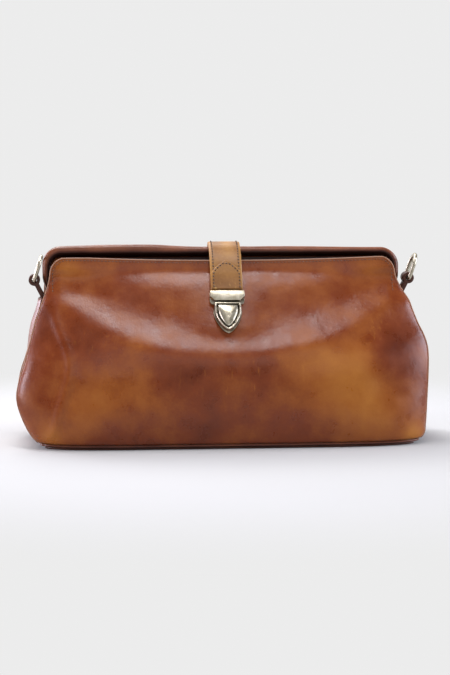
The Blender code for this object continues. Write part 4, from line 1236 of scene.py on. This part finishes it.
def build_metalwork():
    build_button()
    build_spring()
    refined_copy("lock_case_rim", "lock_case", BRASS, 0.55, 3)
    refined_copy("lock_plate", "lock_base_plate", DARK_BRASS, 0.30)
    refined_copy("hasp_cap_plate", "hasp_cap", BRASS, 0.85, 4)
    for name in ("hasp_back_plate", "hasp_staple"):
        finish_node(name, DARK_BRASS)
    for name in ("front_frame", "back_frame", "lock_back_plate", "lock_bolt"):
        finish_node(name, STEEL)
    for kind in ("hinge_rivet", "hinge_washer", "lock_rivet", "hasp_rivet"):
        for side in ("left", "right"):
            finish_node(f"{kind}_{side}", STEEL)


def build_other_nodes():
    finish_node("base_board", BOARD)
    for name in ("front_facing", "back_facing"):
        # painted shade: the facings inside the mouth are coloured near black for the shade there
        refined_copy(f"{name}_leather", name, RECESS_SHADE_LEATHER, 0.3)


# ------------ studio

AIM = (0.0015, -0.015, 0.0717)
CAMERA_AZIMUTH = radians(-5)
CAMERA_ELEVATION = radians(6.2)
CAMERA_DISTANCE = 1.25
LENS = 98.0
PAPER_FRONT = -2600             # the paper's front edge
PAPER_BEND = 1200               # where it starts to curve up
PAPER_CURVE = 1500              # the curve's radius
PAPER_TOP = 4200
FLAT_STEPS = 12
CURVED_STEPS = 28


def build_floor():
    """A pale paper sweep: flat under the bag, then curving up behind it."""
    places = []
    for i in range(FLAT_STEPS + 1):
        places.append((PAPER_FRONT + (PAPER_BEND - PAPER_FRONT) * i / FLAT_STEPS, 0.0))
    for i in range(1, CURVED_STEPS + 1):
        turn = pi / 2 * i / CURVED_STEPS
        places.append((PAPER_BEND + PAPER_CURVE * sin(turn), PAPER_CURVE * (1 - cos(turn))))
    places.append((PAPER_BEND + PAPER_CURVE, PAPER_TOP))
    rows = [[(x, y, z) for x in (-4000, -1300, 1300, 4000)] for y, z in places]
    sweep = add_object(grid_mesh("paper_sweep", rows), studio_paper("pale_paper"))


def area_light(name, place, aim, size, power, colour=WHITE):
    lamp = bpy.data.lights.new(name, "AREA")
    lamp.shape = "RECTANGLE"
    lamp.size, lamp.size_y = size
    lamp.energy = power
    lamp.color = colour
    item = add_object(lamp)
    item.location = place
    item.rotation_euler = (Vector(aim) - item.location).to_track_quat("-Z", "Y").to_euler()


def build_lights():
    area_light("overhead", (-0.12, -0.10, 1.10), (0, -0.02, 0.08), (1.1, 0.14), 10.5,
               (1.0, 0.98, 1.0))
    area_light("back_top", (-0.35, 0.75, 1.15), (0, 0, 0.05), (0.9, 0.5), 14)
    area_light("left_front", (-1.75, -0.35, 0.42), (0, 0, 0.06), (0.45, 0.8), 21, (0.90, 0.86, 1.0))
    area_light("right_side", (1.55, -0.15, 0.50), (0, 0, 0.06), (1.4, 0.9), 31, (0.80, 0.85, 1.0))
    area_light("left_back", (-1.20, 0.90, 0.40), (0, 0, 0.06), (0.8, 0.8), 17, (0.86, 0.84, 1.0))
    area_light("front_fill", (0.0, -2.4, 1.3), (0, 0, 0.05), (2.4, 1.2), 11)
    world = bpy.data.worlds.new("studio")
    bpy.context.scene.world = world
    world.use_nodes = True
    background = world.node_tree.nodes["Background"]
    background.inputs["Color"].default_value = (0.97, 0.97, 1.0, 1.0)
    background.inputs["Strength"].default_value = 0.22
    bpy.context.scene.view_settings.view_transform = "Standard"


def build_camera():
    lens = bpy.data.cameras.new("camera")
    lens.lens = LENS
    lens.sensor_width = 36
    item = add_object(lens)
    flat = cos(CAMERA_ELEVATION)
    back = Vector((sin(CAMERA_AZIMUTH) * flat, -cos(CAMERA_AZIMUTH) * flat,
                   sin(CAMERA_ELEVATION)))
    item.location = Vector(AIM) + back * CAMERA_DISTANCE
    item.rotation_euler = (-back).to_track_quat("-Z", "Y").to_euler()
    bpy.context.scene.camera = item


for build in (build_camera, build_floor, build_lights, build_faces, build_edge_lines, build_gussets,
              build_base, build_lining, build_rim_cover, build_front_rim, build_back_turn_in,
              build_jaw_stitches, build_strap, build_strap_stitches, build_rings, build_metalwork,
              build_other_nodes):
    build()
